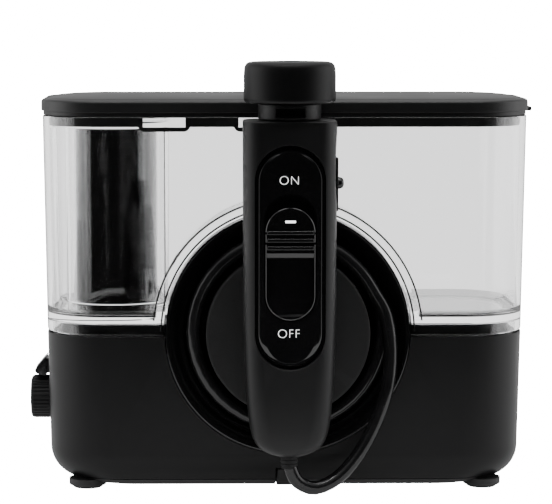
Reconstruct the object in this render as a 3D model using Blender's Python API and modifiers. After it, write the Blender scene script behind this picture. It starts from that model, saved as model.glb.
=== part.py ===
"""Countertop water flosser: base, clear reservoir, hinged lid, docked handle and its hose on a round hub.

The design is worked out about the body's own centre line, with the front at -Y and the table at z = 0.
One empty carries every piece, so that the model's origin sits under the middle of its outer box.
"""

import math

import bmesh
import bpy
from mathutils import Matrix, Vector

MM = 0.001
GAP = 0.3 * MM  # between pieces that touch
SLIP = 0.4 * MM  # round a piece that slides or turns
WALL = 2.4 * MM

# Body
BODY_HALF_WIDTH = 91.8 * MM  # at the seam under the reservoir
BODY_HALF_DEPTH = 37.5 * MM
BODY_CORNER = 24 * MM
BODY_DRAFT = 1.2 * MM  # how much the base draws in by its lower edge
BASE_TOP = 60.0 * MM
BASE_SPLIT = 4.4 * MM  # where the bottom plate meets the shell
BASE_BOTTOM = 1.8 * MM
EDGE_SIDE = 13 * MM  # rounding of the lower edge, across and up
EDGE_FRONT = 8 * MM
DECK_RISE = 4.2 * MM
DECK_INSET = 5.0 * MM
FOOT_X = 76.1 * MM
FOOT_Y = 24.0 * MM
FOOT_RADIUS = 5.9 * MM
FOOT_DEPTH = 2.1 * MM
FOOT_BOSS_WALL = 1.3 * MM
FOOT_BOSS_LOW = 1.1 * MM
GUIDE_X = -0.4 * MM  # the hose guide in the front edge
GUIDE_HALF = 3.2 * MM
GUIDE_TOP = 9.0 * MM

# Reservoir
TANK_TOP = 143.2 * MM
TANK_TOP_FLARE = 1.3 * MM  # wider at the rim than at the seam
TANK_WALL = 2.2 * MM
TANK_SKIRT = 4.6 * MM  # the skirt that drops over the deck
TANK_FLOOR = 2.2 * MM
ARCH_WALL = 3.2 * MM
NIPPLE_RADIUS = 4.0 * MM
NIPPLE_Y = 20 * MM
VALVE_HOLE = 6.6 * MM

# Lid
LID_SIDE = 0.5 * MM  # how far the rim stands out past the reservoir
LID_LIP = 1.5 * MM
LID_RIM = 4.6 * MM
LID_CROWN = 1.2 * MM
LID_PLATE = 2.6 * MM
LID_SKIRT_DEPTH = 4.0 * MM
LID_SKIRT_WALL = 1.8 * MM
LID_TAB = (4.2 * MM, 9.0 * MM, 1.7 * MM)
HINGE_OUT = 3.4 * MM  # hinge axis behind the reservoir's rear wall
HINGE_RISE = 1.5 * MM
KNUCKLE_RADIUS = 2.3 * MM
KNUCKLE_HALF = 30 * MM
LUG_WIDTH = 6 * MM
PIN_RADIUS = 0.9 * MM

# Hose bay and hub, on one axis through the front
BAY_X = 0.6 * MM
BAY_Z = 61.6 * MM
BAY_RADIUS = 46.4 * MM
BAY_DEPTH = 28.5 * MM
BAY_PROUD = 0.3 * MM
BAY_FLOOR = 2.6 * MM
BAY_DISH = 4.8 * MM
GROOVE_RADIUS = 39.4 * MM
HUB_RADIUS = 31.0 * MM
HUB_PROUD = 6.2 * MM  # in front of the body's front face
HUB_WALL = 2.4 * MM
MAGNET_RADIUS = 9 * MM
MAGNET_THICK = 4 * MM
GLAND_RADIUS = 3.2 * MM
GLAND_TURN = math.radians(215)

# Handle
HANDLE_HALF_WIDTH = 17.3 * MM
HANDLE_THICK = 24.0 * MM
HANDLE_CORNER = 7.5 * MM
HANDLE_LOW = 18.1 * MM
HANDLE_TOP = 143.2 * MM
HANDLE_WALL = 2.0 * MM
HANDLE_TAPER_TOP = 78 * MM
NECK_RADIUS = 11.6 * MM
NECK_TOP = 149.1 * MM
KNOB_RADIUS = 17.0 * MM
KNOB_TOP = 164.6 * MM
KNOB_BORE = 4.3 * MM
SOCKET_BORE = 1.7 * MM
PANEL_HALF_WIDTH = 11.7 * MM
PANEL_FLANGE = 1.0 * MM
PANEL_GROOVE = 1.3 * MM
PANEL_LOW = 53.3 * MM
PANEL_TOP = 133.0 * MM
PANEL_THICK = 4.6 * MM
SLIDER_HALF_WIDTH = 9.15 * MM
SLIDER_LOW = 70.2 * MM
SLIDER_TOP = 111.8 * MM
SLIDER_TRAVEL = 4.4 * MM
SLIDER_PROUD = 0.5 * MM
SLIDER_THICK = 3.0 * MM
RIDGE_LOW = 95.8 * MM
RIDGE_TOP = 103.1 * MM
RIDGE_HALF_WIDTH = 7.4 * MM
RIDGE_RISE = 1.1 * MM
EJECT_Z = 119.9 * MM
EJECT_RADIUS = 2.2 * MM
EJECT_PROUD = 2.6 * MM
EJECT_STRIP = (1.2 * MM, 5.6 * MM, 19.8 * MM)
BARB_RADIUS = 3.2 * MM
BARB_LONG = 9 * MM
SCOOP_Z = 124.6 * MM
SCOOP_RADIUS = 150 * MM
SCOOP_DEEP = 0.7 * MM
BEZEL_LOW = 109.6 * MM
BEZEL_X = BAY_X + HANDLE_HALF_WIDTH - 0.6 * MM
NECK_SPIGOT = 8.0 * MM
SPIGOT_LOW = 136 * MM
STEM_HALF = 2.0 * MM
STEM_Z = 84 * MM
BLOCK_LOW = 66 * MM
BLOCK_TOP = 112 * MM
SPOOL_RADIUS = 2.0 * MM
SPOOL_LOW = 76 * MM
SPOOL_LONG = 20 * MM

# Hose
HOSE_RADIUS = 2.6 * MM
HOSE_WRAPS = 4
COIL_RADIUS = 36.0 * MM

# Side controls
DIAL_RADIUS = 8.5 * MM
DIAL_THICK = 7.6 * MM
DIAL_Z = 31.5 * MM
DIAL_STEM = 2.0 * MM
STEM_LONG = 14 * MM
VALVE_LONG = 18 * MM
VALVE_RADIUS = 6 * MM
BUTTON_LOW = 40.5 * MM
BUTTON_TOP = 48.2 * MM
BUTTON_HALF_DEPTH = 6 * MM
BUTTON_PROUD = 4.6 * MM
BUTTON_TRAVEL = 1.2 * MM
BUTTON_SIDE = BODY_HALF_WIDTH - BODY_DRAFT * (BASE_TOP - BUTTON_TOP) / BASE_TOP

# Pump train
MOTOR_RADIUS = 13.7 * MM
MOTOR_LONG = 38 * MM
MOTOR_END_X = 67.6 * MM
MOTOR_Y = 16 * MM
MOTOR_Z = 20 * MM
BRACKET_THICK = 1.6 * MM
GEAR_MODULE = 1.0 * MM
PINION_TEETH = 10
GEAR_TEETH = 30
GEAR_THICK = 5 * MM
GEAR_BACKLASH = 0.15 * MM
AXLE_RADIUS = 1.5 * MM
CRANK = 4 * MM
PISTON_RADIUS = 4.6 * MM
PISTON_LONG = 8 * MM
CYLINDER_WALL = 2.2 * MM
CYLINDER_LONG = 22 * MM
CYLINDER_BACK_Y = -1 * MM
TUBE_RADIUS = 1.8 * MM

# Battery and electrics
CELL_RADIUS = 9.2 * MM
CELL_LONG = 65 * MM
CELL_X = -41.5 * MM
CELL_Y = 22.8 * MM
CELL_LOW_Z = 16 * MM
BOARD_X = -80 * MM
BOARD_THICK = 1.6 * MM
SOCKET_X = 4 * MM
SOCKET_Z = 20 * MM

# Tip case
CASE_LEFT = -83.7 * MM
CASE_RIGHT = -50.3 * MM
CASE_FRONT = 8.4 * MM
CASE_TOP = 136.0 * MM
CASE_WALL = 1.6 * MM
CASE_CORNER = 16.0 * MM
POCKET_WALL = 4.4 * MM
TIP_LONG = 62 * MM

# Worked out
FRONT = -BODY_HALF_DEPTH
SEAM = BASE_TOP + GAP
TANK_HALF_WIDTH = BODY_HALF_WIDTH + TANK_TOP_FLARE
TANK_HALF_DEPTH = BODY_HALF_DEPTH + TANK_TOP_FLARE / 2
LID_HALF_WIDTH = TANK_HALF_WIDTH + LID_SIDE
LID_HALF_DEPTH = TANK_HALF_DEPTH + LID_SIDE
LID_LOW = TANK_TOP + GAP
FLOOR_TOP = SEAM + TANK_SKIRT + TANK_FLOOR
HUB_FRONT = FRONT - HUB_PROUD
HANDLE_BACK = HUB_FRONT - GAP
HANDLE_Y = HANDLE_BACK - HANDLE_THICK / 2
HANDLE_FRONT = HANDLE_BACK - HANDLE_THICK
SLIDER_FRONT = HANDLE_FRONT - SLIDER_PROUD
BAY_BACK = FRONT - BAY_PROUD + BAY_DEPTH
HINGE_Y = TANK_HALF_DEPTH + HINGE_OUT
HINGE_Z = TANK_TOP + HINGE_RISE
REACH_FRONT = HANDLE_Y - KNOB_RADIUS
REACH_BACK = HINGE_Y + KNUCKLE_RADIUS
SIDE_AT_DIAL = BODY_HALF_WIDTH - BODY_DRAFT * 0.6
REACH_LEFT = -SIDE_AT_DIAL - 2 * GAP - DIAL_THICK
REACH_RIGHT = LID_HALF_WIDTH + LID_TAB[0]
BODY_X = -(REACH_LEFT + REACH_RIGHT) / 2
BODY_Y = -(REACH_FRONT + REACH_BACK) / 2


def clear_scene():
    for obj in list(bpy.data.objects):
        bpy.data.objects.remove(obj, do_unlink=True)


def collection(name):
    made = bpy.data.collections.new(name)
    bpy.context.scene.collection.children.link(made)
    return made


def material(name, colour, roughness, metallic=0.0):
    found = bpy.data.materials.get(name)
    if found:
        return found
    made = bpy.data.materials.new(name)
    made.use_nodes = True
    shader = made.node_tree.nodes["Principled BSDF"]
    shader.inputs["Base Color"].default_value = (*colour, 1.0)
    shader.inputs["Roughness"].default_value = roughness
    shader.inputs["Metallic"].default_value = metallic
    return made


def black_shell():
    return material("black_satin", (0.018, 0.018, 0.02), 0.42)


def matte_black():
    return material("black_matte", (0.02, 0.02, 0.022), 0.65)


def gloss_black():
    return material("black_gloss", (0.01, 0.01, 0.011), 0.12)


def clear_plastic():
    return material("clear_smoke", (0.75, 0.77, 0.78), 0.06)


def rubber():
    return material("rubber", (0.012, 0.012, 0.013), 0.6)


def steel():
    return material("steel", (0.55, 0.55, 0.56), 0.3, 1.0)


def white_plastic():
    return material("white_plastic", (0.75, 0.75, 0.73), 0.4)


def board_green():
    return material("board", (0.02, 0.12, 0.05), 0.5)


class Workshop:
    """Keeps the part's collection, the cutters' collection and the empty that carries the part."""

    def __init__(self):
        self.parts = collection("water_flosser")
        self.cutters = collection("cutters")
        self.carrier = bpy.data.objects.new("body_centre", None)
        self.carrier.location = (BODY_X, BODY_Y, 0)
        self.parts.objects.link(self.carrier)

    def add(self, name, mesh, finish, location=(0, 0, 0), turn=(0, 0, 0)):
        obj = bpy.data.objects.new(name, mesh)
        obj.location = location
        obj.rotation_euler = turn
        obj.parent = self.carrier
        self.parts.objects.link(obj)
        if finish:
            mesh.materials.append(finish)
        return obj

    def as_cutter(self, obj):
        self.parts.objects.unlink(obj)
        self.cutters.objects.link(obj)
        obj.hide_render = True
        obj.display_type = "WIRE"
        return obj


def smooth(mesh, degrees=32):
    mesh.shade_smooth()
    mesh.set_sharp_from_angle(angle=math.radians(degrees))


def box_mesh(name, low, high):
    low, high = Vector(low), Vector(high)
    bm = bmesh.new()
    bmesh.ops.create_cube(bm, size=1.0)
    bmesh.ops.scale(bm, vec=high - low, verts=bm.verts)
    bmesh.ops.translate(bm, vec=(high + low) / 2, verts=bm.verts)
    mesh = bpy.data.meshes.new(name)
    bm.to_mesh(mesh)
    bm.free()
    return mesh


def box(shop, name, low, high, finish=None, bevel=0.0):
    obj = shop.add(name, box_mesh(name, low, high), finish)
    if bevel:
        edge = obj.modifiers.new("rounded_edges", "BEVEL")
        edge.width = bevel
        edge.segments = 2
    return obj


AXIS_TURNS = {"Z": (0, 0, 0), "Y": (-math.pi / 2, 0, 0), "X": (0, math.pi / 2, 0)}


def rod(shop, name, radius, start, length, axis, finish=None, sides=20):
    """A plain cylinder from start, running towards + along the axis."""
    bm = bmesh.new()
    bmesh.ops.create_cone(bm, cap_ends=True, segments=sides, radius1=radius, radius2=radius, depth=length)
    bmesh.ops.translate(bm, vec=(0, 0, length / 2), verts=bm.verts)
    mesh = bpy.data.meshes.new(name)
    bm.to_mesh(mesh)
    bm.free()
    smooth(mesh)
    return shop.add(name, mesh, finish, start, AXIS_TURNS[axis])


def turned(shop, name, profile, centre, axis, finish=None, steps=32, ring=False):
    """Turns a profile of (radius, place along the axis), listed from its high end down the outer side."""
    mesh = bpy.data.meshes.new(name)
    count = len(profile)
    edges = [(i, i + 1) for i in range(count - 1)]
    if ring:
        edges.append((count - 1, 0))
    mesh.from_pydata([(radius, 0, along) for radius, along in profile], edges, [])
    obj = shop.add(name, mesh, finish, centre, AXIS_TURNS[axis])
    screw = obj.modifiers.new("turn", "SCREW")
    screw.steps = steps
    screw.render_steps = steps
    screw.use_merge_vertices = True
    screw.merge_threshold = 0.00002
    return obj


def rounded_outline(half_x, half_y, corner, per_corner=6):
    """Points round a rectangle with round corners, anticlockwise."""
    corner = min(corner, half_x, half_y)
    points = []
    for quarter, (sx, sy) in enumerate(((1, 1), (-1, 1), (-1, -1), (1, -1))):
        middle = (sx * (half_x - corner), sy * (half_y - corner))
        for step in range(per_corner):
            turn = math.radians(90) * (quarter + step / (per_corner - 1))
            points.append((middle[0] + corner * math.cos(turn), middle[1] + corner * math.sin(turn)))
    return points


def loft_mesh(name, rings):
    """A closed solid through rings of the same number of points, flat at both ends."""
    bm = bmesh.new()
    rows = [[bm.verts.new(point) for point in ring] for ring in rings]
    count = len(rows[0])
    for lower, upper in zip(rows, rows[1:]):
        for i in range(count):
            bm.faces.new((lower[i], lower[(i + 1) % count], upper[(i + 1) % count], upper[i]))
    bm.faces.new(rows[0])
    bm.faces.new(rows[-1])
    bmesh.ops.recalc_face_normals(bm, faces=bm.faces)
    mesh = bpy.data.meshes.new(name)
    bm.to_mesh(mesh)
    bm.free()
    smooth(mesh)
    return mesh


def level_ring(half_x, half_y, corner, z, centre=(0, 0), per_corner=6):
    outline = rounded_outline(half_x, half_y, corner, per_corner)
    return [(x + centre[0], y + centre[1], z) for x, y in outline]


def loft(shop, name, rings, finish=None):
    return shop.add(name, loft_mesh(name, rings), finish)


def upright_ring(half_x, low, top, y, centre_x=0.0, per_corner=9):
    """A slot-shaped ring with round ends, standing in a plane that faces the front."""
    half_z = (top - low) / 2
    middle = (top + low) / 2
    outline = rounded_outline(half_x, half_z, half_x, per_corner)
    return [(x + centre_x, y, z + middle) for x, z in outline]


def prism(shop, name, outline, low, high, plane, finish=None):
    """An outline drawn in a plane ("XZ" or "YZ") and carried from low to high across it."""
    bm = bmesh.new()
    if plane == "XZ":
        corners = [(a, low, b) for a, b in outline]
        across = Vector((0, high - low, 0))
    else:
        corners = [(low, a, b) for a, b in outline]
        across = Vector((high - low, 0, 0))
    face = bm.faces.new([bm.verts.new(corner) for corner in corners])
    grown = bmesh.ops.extrude_face_region(bm, geom=[face])
    moved = [item for item in grown["geom"] if isinstance(item, bmesh.types.BMVert)]
    bmesh.ops.translate(bm, vec=across, verts=moved)
    bmesh.ops.recalc_face_normals(bm, faces=bm.faces)
    mesh = bpy.data.meshes.new(name)
    bm.to_mesh(mesh)
    bm.free()
    smooth(mesh)
    return shop.add(name, mesh, finish)


def boolean(obj, tool, operation):
    step = obj.modifiers.new(tool.name, "BOOLEAN")
    step.operation = operation
    step.object = tool
    step.solver = "EXACT"


def cut(shop, obj, *tools):
    for tool in tools:
        boolean(obj, shop.as_cutter(tool), "DIFFERENCE")


def join(shop, obj, *tools):
    for tool in tools:
        boolean(obj, shop.as_cutter(tool), "UNION")


def keep_inside(shop, obj, tool):
    boolean(obj, shop.as_cutter(tool), "INTERSECT")


def put_origin(obj, place):
    """Moves an unturned piece's origin onto its joint's axis, and leaves its shape where it is."""
    place = Vector(place)
    obj.data.transform(Matrix.Translation(-place))
    obj.location = place


def tube(shop, name, points, radius, finish, resolution=2):
    curve = bpy.data.curves.new(name, "CURVE")
    curve.dimensions = "3D"
    curve.bevel_depth = radius
    curve.bevel_resolution = resolution
    curve.use_fill_caps = True
    curve.materials.append(finish)
    spline = curve.splines.new("POLY")
    spline.points.add(len(points) - 1)
    for target, point in zip(spline.points, points):
        target.co = (*point, 1)
    obj = bpy.data.objects.new(name, curve)
    obj.parent = shop.carrier
    shop.parts.objects.link(obj)
    return obj


def smooth_route(points, per_span):
    """Points along a smooth curve through the given ones."""
    points = [Vector(p) for p in points]
    route = []
    for i in range(len(points) - 1):
        before = points[max(i - 1, 0)]
        here, there = points[i], points[i + 1]
        after = points[min(i + 2, len(points) - 1)]
        for step in range(per_span):
            t = step / per_span
            route.append(
                0.5
                * (
                    2 * here
                    + (there - before) * t
                    + (2 * before - 5 * here + 4 * there - after) * t * t
                    + (3 * here - before - 3 * there + after) * t * t * t
                )
            )
    route.append(points[-1])
    return route


def lower_edge(z):
    """How far the body draws in, across and in depth, at a height in its rounded lower edge."""
    rise = min(max(z - BASE_BOTTOM, 0.0), EDGE_SIDE)
    share = 1 - math.sqrt(max(0.0, 1 - (1 - rise / EDGE_SIDE) ** 2))
    return share * EDGE_SIDE, share * EDGE_FRONT


def body_ring(z, inset=0.0):
    """The outline of the base at a height."""
    draft = BODY_DRAFT * (BASE_TOP - z) / BASE_TOP
    side, front = lower_edge(z)
    half_x = BODY_HALF_WIDTH - draft - side - inset
    half_y = BODY_HALF_DEPTH - draft / 2 - front - inset
    return level_ring(half_x, half_y, BODY_CORNER - inset, z)


def tank_ring(z, inset=0.0):
    """The outline of the reservoir at a height."""
    share = (z - SEAM) / (TANK_TOP - SEAM)
    half_x = BODY_HALF_WIDTH + TANK_TOP_FLARE * share - inset
    half_y = BODY_HALF_DEPTH + TANK_TOP_FLARE / 2 * share - inset
    return level_ring(half_x, half_y, BODY_CORNER - inset, z)


def edge_heights(low):
    """Heights that follow the rounded lower edge evenly."""
    heights = []
    for step in range(6):
        turn = math.radians(18 * step)
        heights.append(BASE_BOTTOM + EDGE_SIDE * (1 - math.cos(turn)))
    return [low] + [z for z in heights if z > low + 0.5 * MM]


def bay_cylinder(shop, name, radius, back):
    start = (BAY_X, FRONT - 20 * MM, BAY_Z)
    return rod(shop, name, radius, start, back - start[1], "Y", sides=48)


def base_shell(shop):
    heights = edge_heights(BASE_SPLIT + GAP)
    outer = [body_ring(z) for z in [*reversed(heights)]]
    inner = [body_ring(max(z, heights[0]), WALL) for z in heights]
    deck = level_ring(
        BODY_HALF_WIDTH - DECK_INSET, BODY_HALF_DEPTH - DECK_INSET, BODY_CORNER - DECK_INSET, BASE_TOP
    )
    plateau = [(x, y, BASE_TOP + DECK_RISE) for x, y, _ in deck]
    shell = loft(
        shop,
        "base_shell",
        [plateau, deck, body_ring(BASE_TOP), *outer, *inner, body_ring(BASE_TOP - WALL, WALL)],
        black_shell(),
    )
    side = -SIDE_AT_DIAL
    cut(
        shop,
        shell,
        bay_cylinder(shop, "bay_opening", BAY_RADIUS + GAP, BAY_BACK + GAP),
        rod(shop, "dial_hole", DIAL_STEM + SLIP, (side - 5 * MM, 0, DIAL_Z), 12 * MM, "X", sides=16),
        box(
            shop,
            "button_hole",
            (side - 5 * MM, -BUTTON_HALF_DEPTH + 1.2 * MM - SLIP, BUTTON_LOW + 1 * MM - SLIP),
            (side + 8 * MM, BUTTON_HALF_DEPTH - 1.2 * MM + SLIP, BUTTON_TOP - 1 * MM + SLIP),
        ),
        rod(shop, "nipple_hole", NIPPLE_RADIUS + GAP, (0, NIPPLE_Y, BASE_TOP - 10 * MM), 20 * MM, "Z"),
        rod(shop, "charge_hole", 3.4 * MM, (SOCKET_X, BODY_HALF_DEPTH - 8 * MM, SOCKET_Z), 16 * MM, "Y"),
        box(
            shop,
            "guide_notch",
            (GUIDE_X - GUIDE_HALF - GAP, FRONT - 5 * MM, -1 * MM),
            (GUIDE_X + GUIDE_HALF + GAP, FRONT + 12 * MM, GUIDE_TOP + GAP),
        ),
    )
    return shell


def bottom_plate(shop):
    heights = [BASE_SPLIT, 3.4 * MM, 2.5 * MM, BASE_BOTTOM]
    plate = loft(shop, "bottom_plate", [body_ring(z) for z in heights], matte_black())
    bosses = []
    pockets = []
    for x, y, label in foot_places():
        bosses.append(
            rod(shop, f"boss_{label}", FOOT_RADIUS + FOOT_BOSS_WALL, (x, y, FOOT_BOSS_LOW), 2.6 * MM, "Z")
        )
        pockets.append(
            rod(shop, f"pocket_{label}", FOOT_RADIUS + GAP, (x, y, -MM), FOOT_DEPTH + GAP + MM, "Z")
        )
    join(shop, plate, *bosses)
    cut(
        shop,
        plate,
        *pockets,
        box(
            shop,
            "plate_notch",
            (GUIDE_X - GUIDE_HALF - GAP, FRONT - 5 * MM, -MM),
            (GUIDE_X + GUIDE_HALF + GAP, FRONT + 12 * MM, GUIDE_TOP),
        ),
    )


def foot_places():
    return [
        (-FOOT_X, -FOOT_Y, "front_left"),
        (FOOT_X, -FOOT_Y, "front_right"),
        (-FOOT_X, FOOT_Y, "rear_left"),
        (FOOT_X, FOOT_Y, "rear_right"),
    ]


def feet(shop):
    for x, y, label in foot_places():
        profile = [
            (0, FOOT_DEPTH),
            (FOOT_RADIUS, FOOT_DEPTH),
            (FOOT_RADIUS, 0.7 * MM),
            (FOOT_RADIUS - 0.7 * MM, 0),
            (0, 0),
        ]
        turned(shop, f"foot_{label}", profile, (x, y, 0), "Z", rubber(), 20)


def hose_guide(shop):
    """A small hook in the front edge that keeps the hose's first loop off the table."""
    box(
        shop,
        "hose_guide",
        (GUIDE_X - GUIDE_HALF, FRONT + 4 * MM, 2.2 * MM),
        (GUIDE_X + GUIDE_HALF, FRONT + 11.6 * MM, GUIDE_TOP - GAP),
        matte_black(),
        0.6 * MM,
    )


def hose_bay(shop):
    front = -BAY_PROUD
    back = front + BAY_DEPTH
    floor = back - BAY_FLOOR
    profile = [
        (0, back),
        (BAY_RADIUS, back),
        (BAY_RADIUS, front + 0.5 * MM),
        (BAY_RADIUS - 0.6 * MM, front),
        (BAY_RADIUS - 1.2 * MM, front + 0.3 * MM),
        (GROOVE_RADIUS + 2 * MM, front + BAY_DISH),
        (GROOVE_RADIUS, front + BAY_DISH + 1.2 * MM),
        (GROOVE_RADIUS, floor),
        (0, floor),
    ]
    bay = turned(shop, "hose_bay", profile, (BAY_X, FRONT, BAY_Z), "Y", gloss_black(), 48)
    x, z = gland_place()
    cut(shop, bay, rod(shop, "gland_hole", GLAND_RADIUS + GAP, (x, FRONT, z), 2 * BAY_DEPTH, "Y", sides=16))


def gland_place():
    return (BAY_X + COIL_RADIUS * math.cos(GLAND_TURN), BAY_Z + COIL_RADIUS * math.sin(GLAND_TURN))


def hose_gland(shop):
    x, z = gland_place()
    floor = BAY_BACK - BAY_FLOOR
    profile = [
        (0, 8.0 * MM),
        (2.2 * MM, 8.0 * MM),
        (2.2 * MM, BAY_FLOOR + 2.2 * MM),
        (GLAND_RADIUS + 1.4 * MM, BAY_FLOOR + 2.2 * MM),
        (GLAND_RADIUS + 1.4 * MM, BAY_FLOOR + GAP),
        (GLAND_RADIUS, BAY_FLOOR + GAP),
        (GLAND_RADIUS, -0.6 * MM),
        (0, -0.6 * MM),
    ]
    turned(shop, "hose_gland", profile, (x, floor, z), "Y", rubber(), 16)


def hub_dock(shop):
    back = BAY_BACK - BAY_FLOOR - GAP
    front = HUB_FRONT
    long = back - front
    inner = HUB_RADIUS - HUB_WALL
    profile = [
        (inner, long),
        (HUB_RADIUS, long),
        (HUB_RADIUS, 0.9 * MM),
        (HUB_RADIUS - 0.9 * MM, 0),
        (0, 0),
        (0, HUB_WALL),
        (inner, HUB_WALL),
    ]
    turned(shop, "hub_dock", profile, (BAY_X, front, BAY_Z), "Y", matte_black(), 48, ring=True)
    magnet_front = front + HUB_WALL + GAP
    profile = [(0, MAGNET_THICK), (MAGNET_RADIUS, MAGNET_THICK), (MAGNET_RADIUS, 0), (0, 0)]
    turned(shop, "dock_magnet", profile, (BAY_X, magnet_front, BAY_Z), "Y", steel(), 24)
    holder_front = magnet_front + MAGNET_THICK + GAP
    long = back - holder_front
    profile = [(0, long), (4 * MM, long), (4 * MM, 2 * MM), (inner - GAP, 2 * MM), (inner - GAP, 0), (0, 0)]
    turned(shop, "magnet_holder", profile, (BAY_X, holder_front, BAY_Z), "Y", matte_black(), 32)


def coil_depths():
    """Front and back of the wound hose, which lies against the bay's floor."""
    back = BAY_BACK - BAY_FLOOR - 1.2 * MM
    return back - HOSE_WRAPS * 2 * HOSE_RADIUS, back


def hose_coil(shop):
    front, back = coil_depths()
    inner = COIL_RADIUS - HOSE_RADIUS
    outer = COIL_RADIUS + HOSE_RADIUS
    soft = 1.0 * MM
    long = back - front
    profile = [
        (inner + soft, long),
        (outer - soft, long),
        (outer, long - soft),
        (outer, soft),
        (outer - soft, 0),
        (inner + soft, 0),
        (inner, soft),
        (inner, long - soft),
    ]
    turned(shop, "hose_coil", profile, (BAY_X, front, BAY_Z), "Y", rubber(), 40, ring=True)


def hose_tail(shop):
    """The free stretch, from the bottom of the handle, round to the right and up into the bay."""
    front, _ = coil_depths()
    last_y = front - HOSE_RADIUS - GAP
    route = [
        (BAY_X, HANDLE_Y, HANDLE_LOW - 2 * GAP),
        (BAY_X + 0.5 * MM, HANDLE_Y, 13.4 * MM),
        (BAY_X + 3.4 * MM, HANDLE_Y + 0.3 * MM, 7.8 * MM),
        (BAY_X + 10.0 * MM, HANDLE_Y + 2.0 * MM, 5.2 * MM),
        (BAY_X + 18.4 * MM, HANDLE_Y + 5.4 * MM, 8.4 * MM),
        (BAY_X + 26.5 * MM, HANDLE_Y + 9.0 * MM, 16.8 * MM),
        (BAY_X + 33.2 * MM, HANDLE_Y + 12.0 * MM, 28.4 * MM),
        (BAY_X + 37.6 * MM, HANDLE_Y + 13.6 * MM, 41.6 * MM),
        (BAY_X + 39.0 * MM, last_y - 1.8 * MM, 55.0 * MM),
        (BAY_X + 37.4 * MM, last_y - 0.4 * MM, 68.0 * MM),
        (BAY_X + 33.4 * MM, last_y, 75.8 * MM),
        (BAY_X + 27.6 * MM, last_y, 84.6 * MM),
        (BAY_X + 19.6 * MM, last_y, 91.8 * MM),
        (BAY_X + 10.0 * MM, last_y, 96.2 * MM),
    ]
    tube(shop, "hose_tail", smooth_route(route, 3), HOSE_RADIUS, rubber())


def case_ring(z, rear, grow=0.0):
    """The tip case's outline: two round corners at the front, two square ones at the rear."""
    corner = CASE_CORNER + grow
    left = CASE_LEFT - grow
    right = CASE_RIGHT + grow
    middle_y = CASE_FRONT - grow + corner
    points = [(right, rear, z), (left, rear, z)]
    for middle_x, first in ((left + corner, 180), (right - corner, 270)):
        for step in range(9):
            turn = math.radians(first + 90 * step / 8)
            points.append((middle_x + corner * math.cos(turn), middle_y + corner * math.sin(turn), z))
    return points


def arch_outline(radius, low, steps=28):
    """The part of the bay's circle that stands above a level."""
    first = math.asin((low - BAY_Z) / radius)
    points = []
    for step in range(steps + 1):
        turn = first + (math.pi - 2 * first) * step / steps
        points.append((BAY_X + radius * math.cos(turn), BAY_Z + radius * math.sin(turn)))
    return points


def reservoir(shop):
    floor_low = SEAM + TANK_SKIRT
    rings = [
        tank_ring(floor_low, TANK_WALL),
        tank_ring(SEAM, TANK_WALL),
        tank_ring(SEAM),
        tank_ring(TANK_TOP),
        tank_ring(TANK_TOP, TANK_WALL),
        tank_ring(FLOOR_TOP + 3 * MM, TANK_WALL),
        tank_ring(FLOOR_TOP, TANK_WALL + 3 * MM),
    ]
    tank = loft(shop, "reservoir", rings, clear_plastic())
    arch = BAY_RADIUS + GAP + SLIP
    back = BAY_BACK + GAP + SLIP
    pocket_rear = TANK_HALF_DEPTH - 1.2 * MM
    pocket_top = CASE_TOP + SLIP
    outer = SLIP + POCKET_WALL
    lugs = []
    bores = []
    for side in (-1, 1):
        near = side * (KNUCKLE_HALF + SLIP)
        far = side * (KNUCKLE_HALF + SLIP + LUG_WIDTH)
        lugs.append(
            box(
                shop,
                f"lug_{side}",
                (min(near, far), TANK_HALF_DEPTH - 1.2 * MM, HINGE_Z - 9 * MM),
                (max(near, far), HINGE_Y + 1.6 * MM, TANK_TOP - 0.2 * MM),
            )
        )
        end = (min(near, far), HINGE_Y, HINGE_Z)
        lugs.append(rod(shop, f"lug_end_{side}", KNUCKLE_RADIUS, end, LUG_WIDTH, "X"))
        bores.append(
            rod(
                shop,
                f"lug_bore_{side}",
                PIN_RADIUS + GAP,
                (min(near, far) - MM, HINGE_Y, HINGE_Z),
                LUG_WIDTH + 2 * MM,
                "X",
                sides=12,
            )
        )
    join(
        shop,
        tank,
        prism(
            shop,
            "arch_block",
            arch_outline(arch + ARCH_WALL, floor_low + 0.1 * MM),
            FRONT + 0.6 * MM,
            back + TANK_WALL,
            "XZ",
        ),
        loft(
            shop,
            "case_pocket",
            [case_ring(z, pocket_rear, outer) for z in (floor_low + 0.2 * MM, pocket_top + TANK_WALL)],
        ),
        *lugs,
    )
    cut(
        shop,
        tank,
        bay_cylinder(shop, "arch_opening", arch, back),
        loft(
            shop,
            "case_opening",
            [case_ring(z, TANK_HALF_DEPTH + 5 * MM, SLIP) for z in (FLOOR_TOP, pocket_top)],
        ),
        rod(shop, "valve_opening", VALVE_HOLE, (0, NIPPLE_Y, SEAM), 12 * MM, "Z"),
        *bores,
    )


def reservoir_valve(shop):
    """A rubber collar in the reservoir's floor that closes round the base's nipple."""
    floor_low = SEAM + TANK_SKIRT
    inner = NIPPLE_RADIUS + GAP
    profile = [
        (inner, FLOOR_TOP + 1.8 * MM),
        (VALVE_HOLE + 1.6 * MM, FLOOR_TOP + 1.8 * MM),
        (VALVE_HOLE + 1.6 * MM, FLOOR_TOP + GAP),
        (VALVE_HOLE - GAP, FLOOR_TOP + GAP),
        (VALVE_HOLE - GAP, floor_low - 0.6 * MM),
        (inner, floor_low - 0.6 * MM),
    ]
    turned(shop, "reservoir_valve", profile, (0, NIPPLE_Y, 0), "Z", rubber(), 24, ring=True)


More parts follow.
